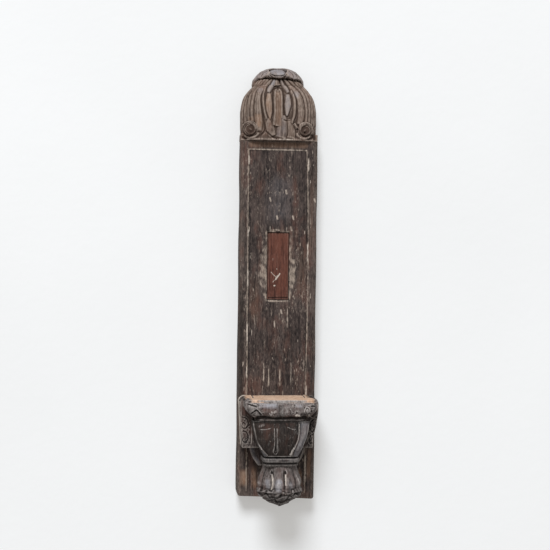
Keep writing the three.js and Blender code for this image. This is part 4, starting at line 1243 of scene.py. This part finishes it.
def carve_lobes(carving):
    """Lobes on the upper tier, and rough overlapping chips on the lower one."""
    height = carving.plan[:, 1]
    turn = np.arctan2(carving.points[:, 0], -(carving.points[:, 1] - BUD_MIDDLE[1]))
    lobe = np.abs(np.sin(5 * (turn - LOBE_START)))
    seam = np.clip(1 - lobe / 0.42, 0, 1)
    upper = rise_between(22, 27, height) * rise_between(50, 46, height)
    away = rise_between(9, 11, np.hypot(carving.points[:, 0], height - 26.9))
    away = np.where(carving.normals[:, 1] > 0.2, away, 1)
    carving.deepen(0.7 * seam * upper * away)
    lower = rise_between(27, 22, height) * away
    row = height + 1.8 * np.abs(np.sin(5 * turn + 0.6)) + 2 * ripple(carving.points, (8, 8, 9), 83)
    steps = np.mod(row / CHIP_ROW, 1)
    scale = np.abs(np.sin(4.5 * turn + np.floor(row / CHIP_ROW) * 1.6))
    chips = 1.8 * (1 - steps) + 1.3 * np.clip(1 - scale / 0.45, 0, 1)
    chips += 0.6 * np.clip(ripple(carving.points, (3.2, 3.2, 3.2), 81), -1, 1)
    carving.deepen(np.clip(chips, 0, 2.6) * lower)
    # darker over the lower tier, most where each row of chips is cut deepest
    carving.mark((0.5 + 0.3 * (steps < 0.3)) * lower, soot=1)


def mark_bud(carving):
    """Slots, pale rubbed lines and shiny places with painted sheen."""
    g, r = carving.groove, carving.ridge
    # painted sheen: grey highlights on the upper lobes
    carving.paint_marks([(-3.2, 33), (-3.2, 27)], 11, 0, cool=1)
    carving.paint_marks([(-17, 34), (-16, 28)], 7, 0, cool=0.5)
    carving.paint_marks([(11, 32), (12, 27)], 7, 0, cool=0.5)
    g([(-11.4, 46.4), (-11.4, 44.6)], (2, 4), 1.4, 0, soot=0.9)
    g([(4.9, 46.4), (4.9, 44.6)], (2, 4), 1.4, 0, soot=0.9)
    g([(-11.2, 43.4), (-10.6, 36), (-11.5, 24)], 2.6, 0.2, 0.1, worn=1, chalk=0.85)
    g([(5.2, 43.4), (5.3, 28.6)], 2.6, 0.2, 0.1, worn=1, chalk=0.85)
    g([(17.6, 43), (22.6, 34), (26.4, 26), (25.6, 21)], 2.2, 0.2, 0.1, worn=0.9, chalk=0.4)
    r([(-9.6, 40), (-8.9, 30)], 1.2, 0.3, 0.2, worn=0.4)
    r([(-3.2, 34), (-3.2, 26)], (6, 9), 0.3, 0.1, worn=0.45)
    for place in ((-12.2, 25), (4.9, 18.9), (-6.6, 17.7), (-3.5, 12.4), (14.9, 24.1)):
        carving.paint_marks([place], 1.8, chalk=0.7)


def make_bud():
    piece = rough_block("carved_hammer_bud", 0.5, "hammer_bud")
    carving = Carving(piece, BUD_LOW[2], (BUD_LOW, BUD_HIGH))
    fill_lower_tier(carving)
    carve_lobes(carving)
    mark_bud(carving)
    carving.roughen(0.15, (5, 5, 5), 82, sunk=0.1)
    carving.finish()
    hand_over(piece, "hammer", ["hammer_bud"], HAMMER_WOOD)


def dress_plain_nodes():
    """The pins, pegs, studs and hanger keep their CAD shapes and get their finish."""
    for name, node in frame["nodes"].items():
        if "dowel" in name or "peg" in name or name == "hammer_spindle":
            material = PEG_WOOD
        elif name in ("hinge_pin", "anvil_stud", "strike_stud") or "hanger" in name:
            material = IRON
        else:
            continue
        node.data.materials.clear()
        node.data.materials.append(material)


make_board()
make_plug()
make_crest()
make_button()
make_block()
make_capital()
make_vase()
make_collar()
make_bud()
dress_plain_nodes()

# ---------- wall, light and camera ----------

WALL_BEHIND = 1.0
VIEW_HEIGHT = 13.0
VIEW_TURN = math.radians(5.7)
VIEW_ROLL = math.radians(0.65)
VIEW_DISTANCE = 1511.0
VIEW_ASIDE = 3.8
VIEW_LENS = 77.9
WALL_GLOW = 0.27
ROOM_LIGHT = 0.45
SKY_LIGHT = 690


def limewashed_wall():
    bpy.ops.object.select_all(action="DESELECT")
    bpy.ops.mesh.primitive_grid_add(
        x_subdivisions=8,
        y_subdivisions=8,
        size=8,
        location=(0, (BOARD_HIGH[1] + WALL_BEHIND) * MM, 0),
        rotation=(math.pi / 2, 0, 0),
    )
    wall = bpy.context.active_object
    wall.name = "wall"
    wall.visible_diffuse = False
    wall.visible_glossy = False
    wall.visible_transmission = False
    wall.visible_shadow = False
    glow = {"Emission_Color": tone(252, 247, 240), "Emission_Strength": WALL_GLOW}
    finish = Finish("limewash", Roughness=0.95, Specular_IOR_Level=0.0, **glow)
    cloud = finish.noise((300, 300, 300), 3.0, 0.5).between(0.3, 0.7)
    finish.feed("Base Color", finish.mix(cloud, tone(203, 206, 209), tone(209, 212, 215)))
    trowel = finish.noise((9, 9, 9), 5.0, 0.6)
    finish.bump(trowel, 1.0, 0.35)
    back = finish.node("ShaderNodeNewGeometry", output="Backfacing")
    clear = finish.node("ShaderNodeBsdfTransparent")
    face = Wire(finish, finish.shader.outputs["BSDF"])
    seen = finish.node("ShaderNodeMixShader", None, {0: back, 1: face, 2: clear})
    output = next(n for n in finish.tree.nodes if n.type == "OUTPUT_MATERIAL")
    finish.tree.links.new(seen.socket, output.inputs["Surface"])
    wall.data.materials.append(finish.material)


def soft_room():
    """Even pale light from all round, as in a white room."""
    world = bpy.data.worlds.new("white room")
    bpy.context.scene.world = world
    world.use_nodes = True
    background = world.node_tree.nodes["Background"]
    background.inputs["Color"].default_value = (1.0, 0.985, 0.965, 1)
    background.inputs["Strength"].default_value = ROOM_LIGHT


def lamp(name, place, target, size, power, colour=(1, 1, 1)):
    data = bpy.data.lights.new(name, "AREA")
    data.shape = "DISK"
    data.size = size
    data.energy = power
    data.color = colour
    made = bpy.data.objects.new(name, data)
    bpy.context.scene.collection.objects.link(made)
    made.location = place
    made.rotation_euler = (Vector(target) - Vector(place)).to_track_quat("-Z", "Y").to_euler()


def set_camera():
    across = Vector((math.cos(VIEW_TURN), -math.sin(VIEW_TURN), 0))
    ahead = Vector((math.sin(VIEW_TURN), math.cos(VIEW_TURN), 0))
    target = Vector((0, BOARD_LOW[1], VIEW_HEIGHT))
    data = bpy.data.cameras.new("camera")
    data.lens = VIEW_LENS
    data.sensor_width = 36
    data.clip_start = 0.05
    camera = bpy.data.objects.new("camera", data)
    bpy.context.scene.collection.objects.link(camera)
    camera.location = (target - ahead * VIEW_DISTANCE - across * VIEW_ASIDE) * MM
    look = ahead.to_track_quat("-Z", "Y").to_matrix()
    roll = Matrix.Rotation(VIEW_ROLL, 3, Vector((0, 0, 1)))
    camera.rotation_euler = (look @ roll).to_euler()
    bpy.context.scene.camera = camera


limewashed_wall()
soft_room()
lamp("sky light", (-1.5, -6.4, 6.0), (0, 0, -0.05), 3.4, SKY_LIGHT, (0.97, 0.985, 1.0))
set_camera()
bpy.context.scene.view_settings.view_transform = "Standard"
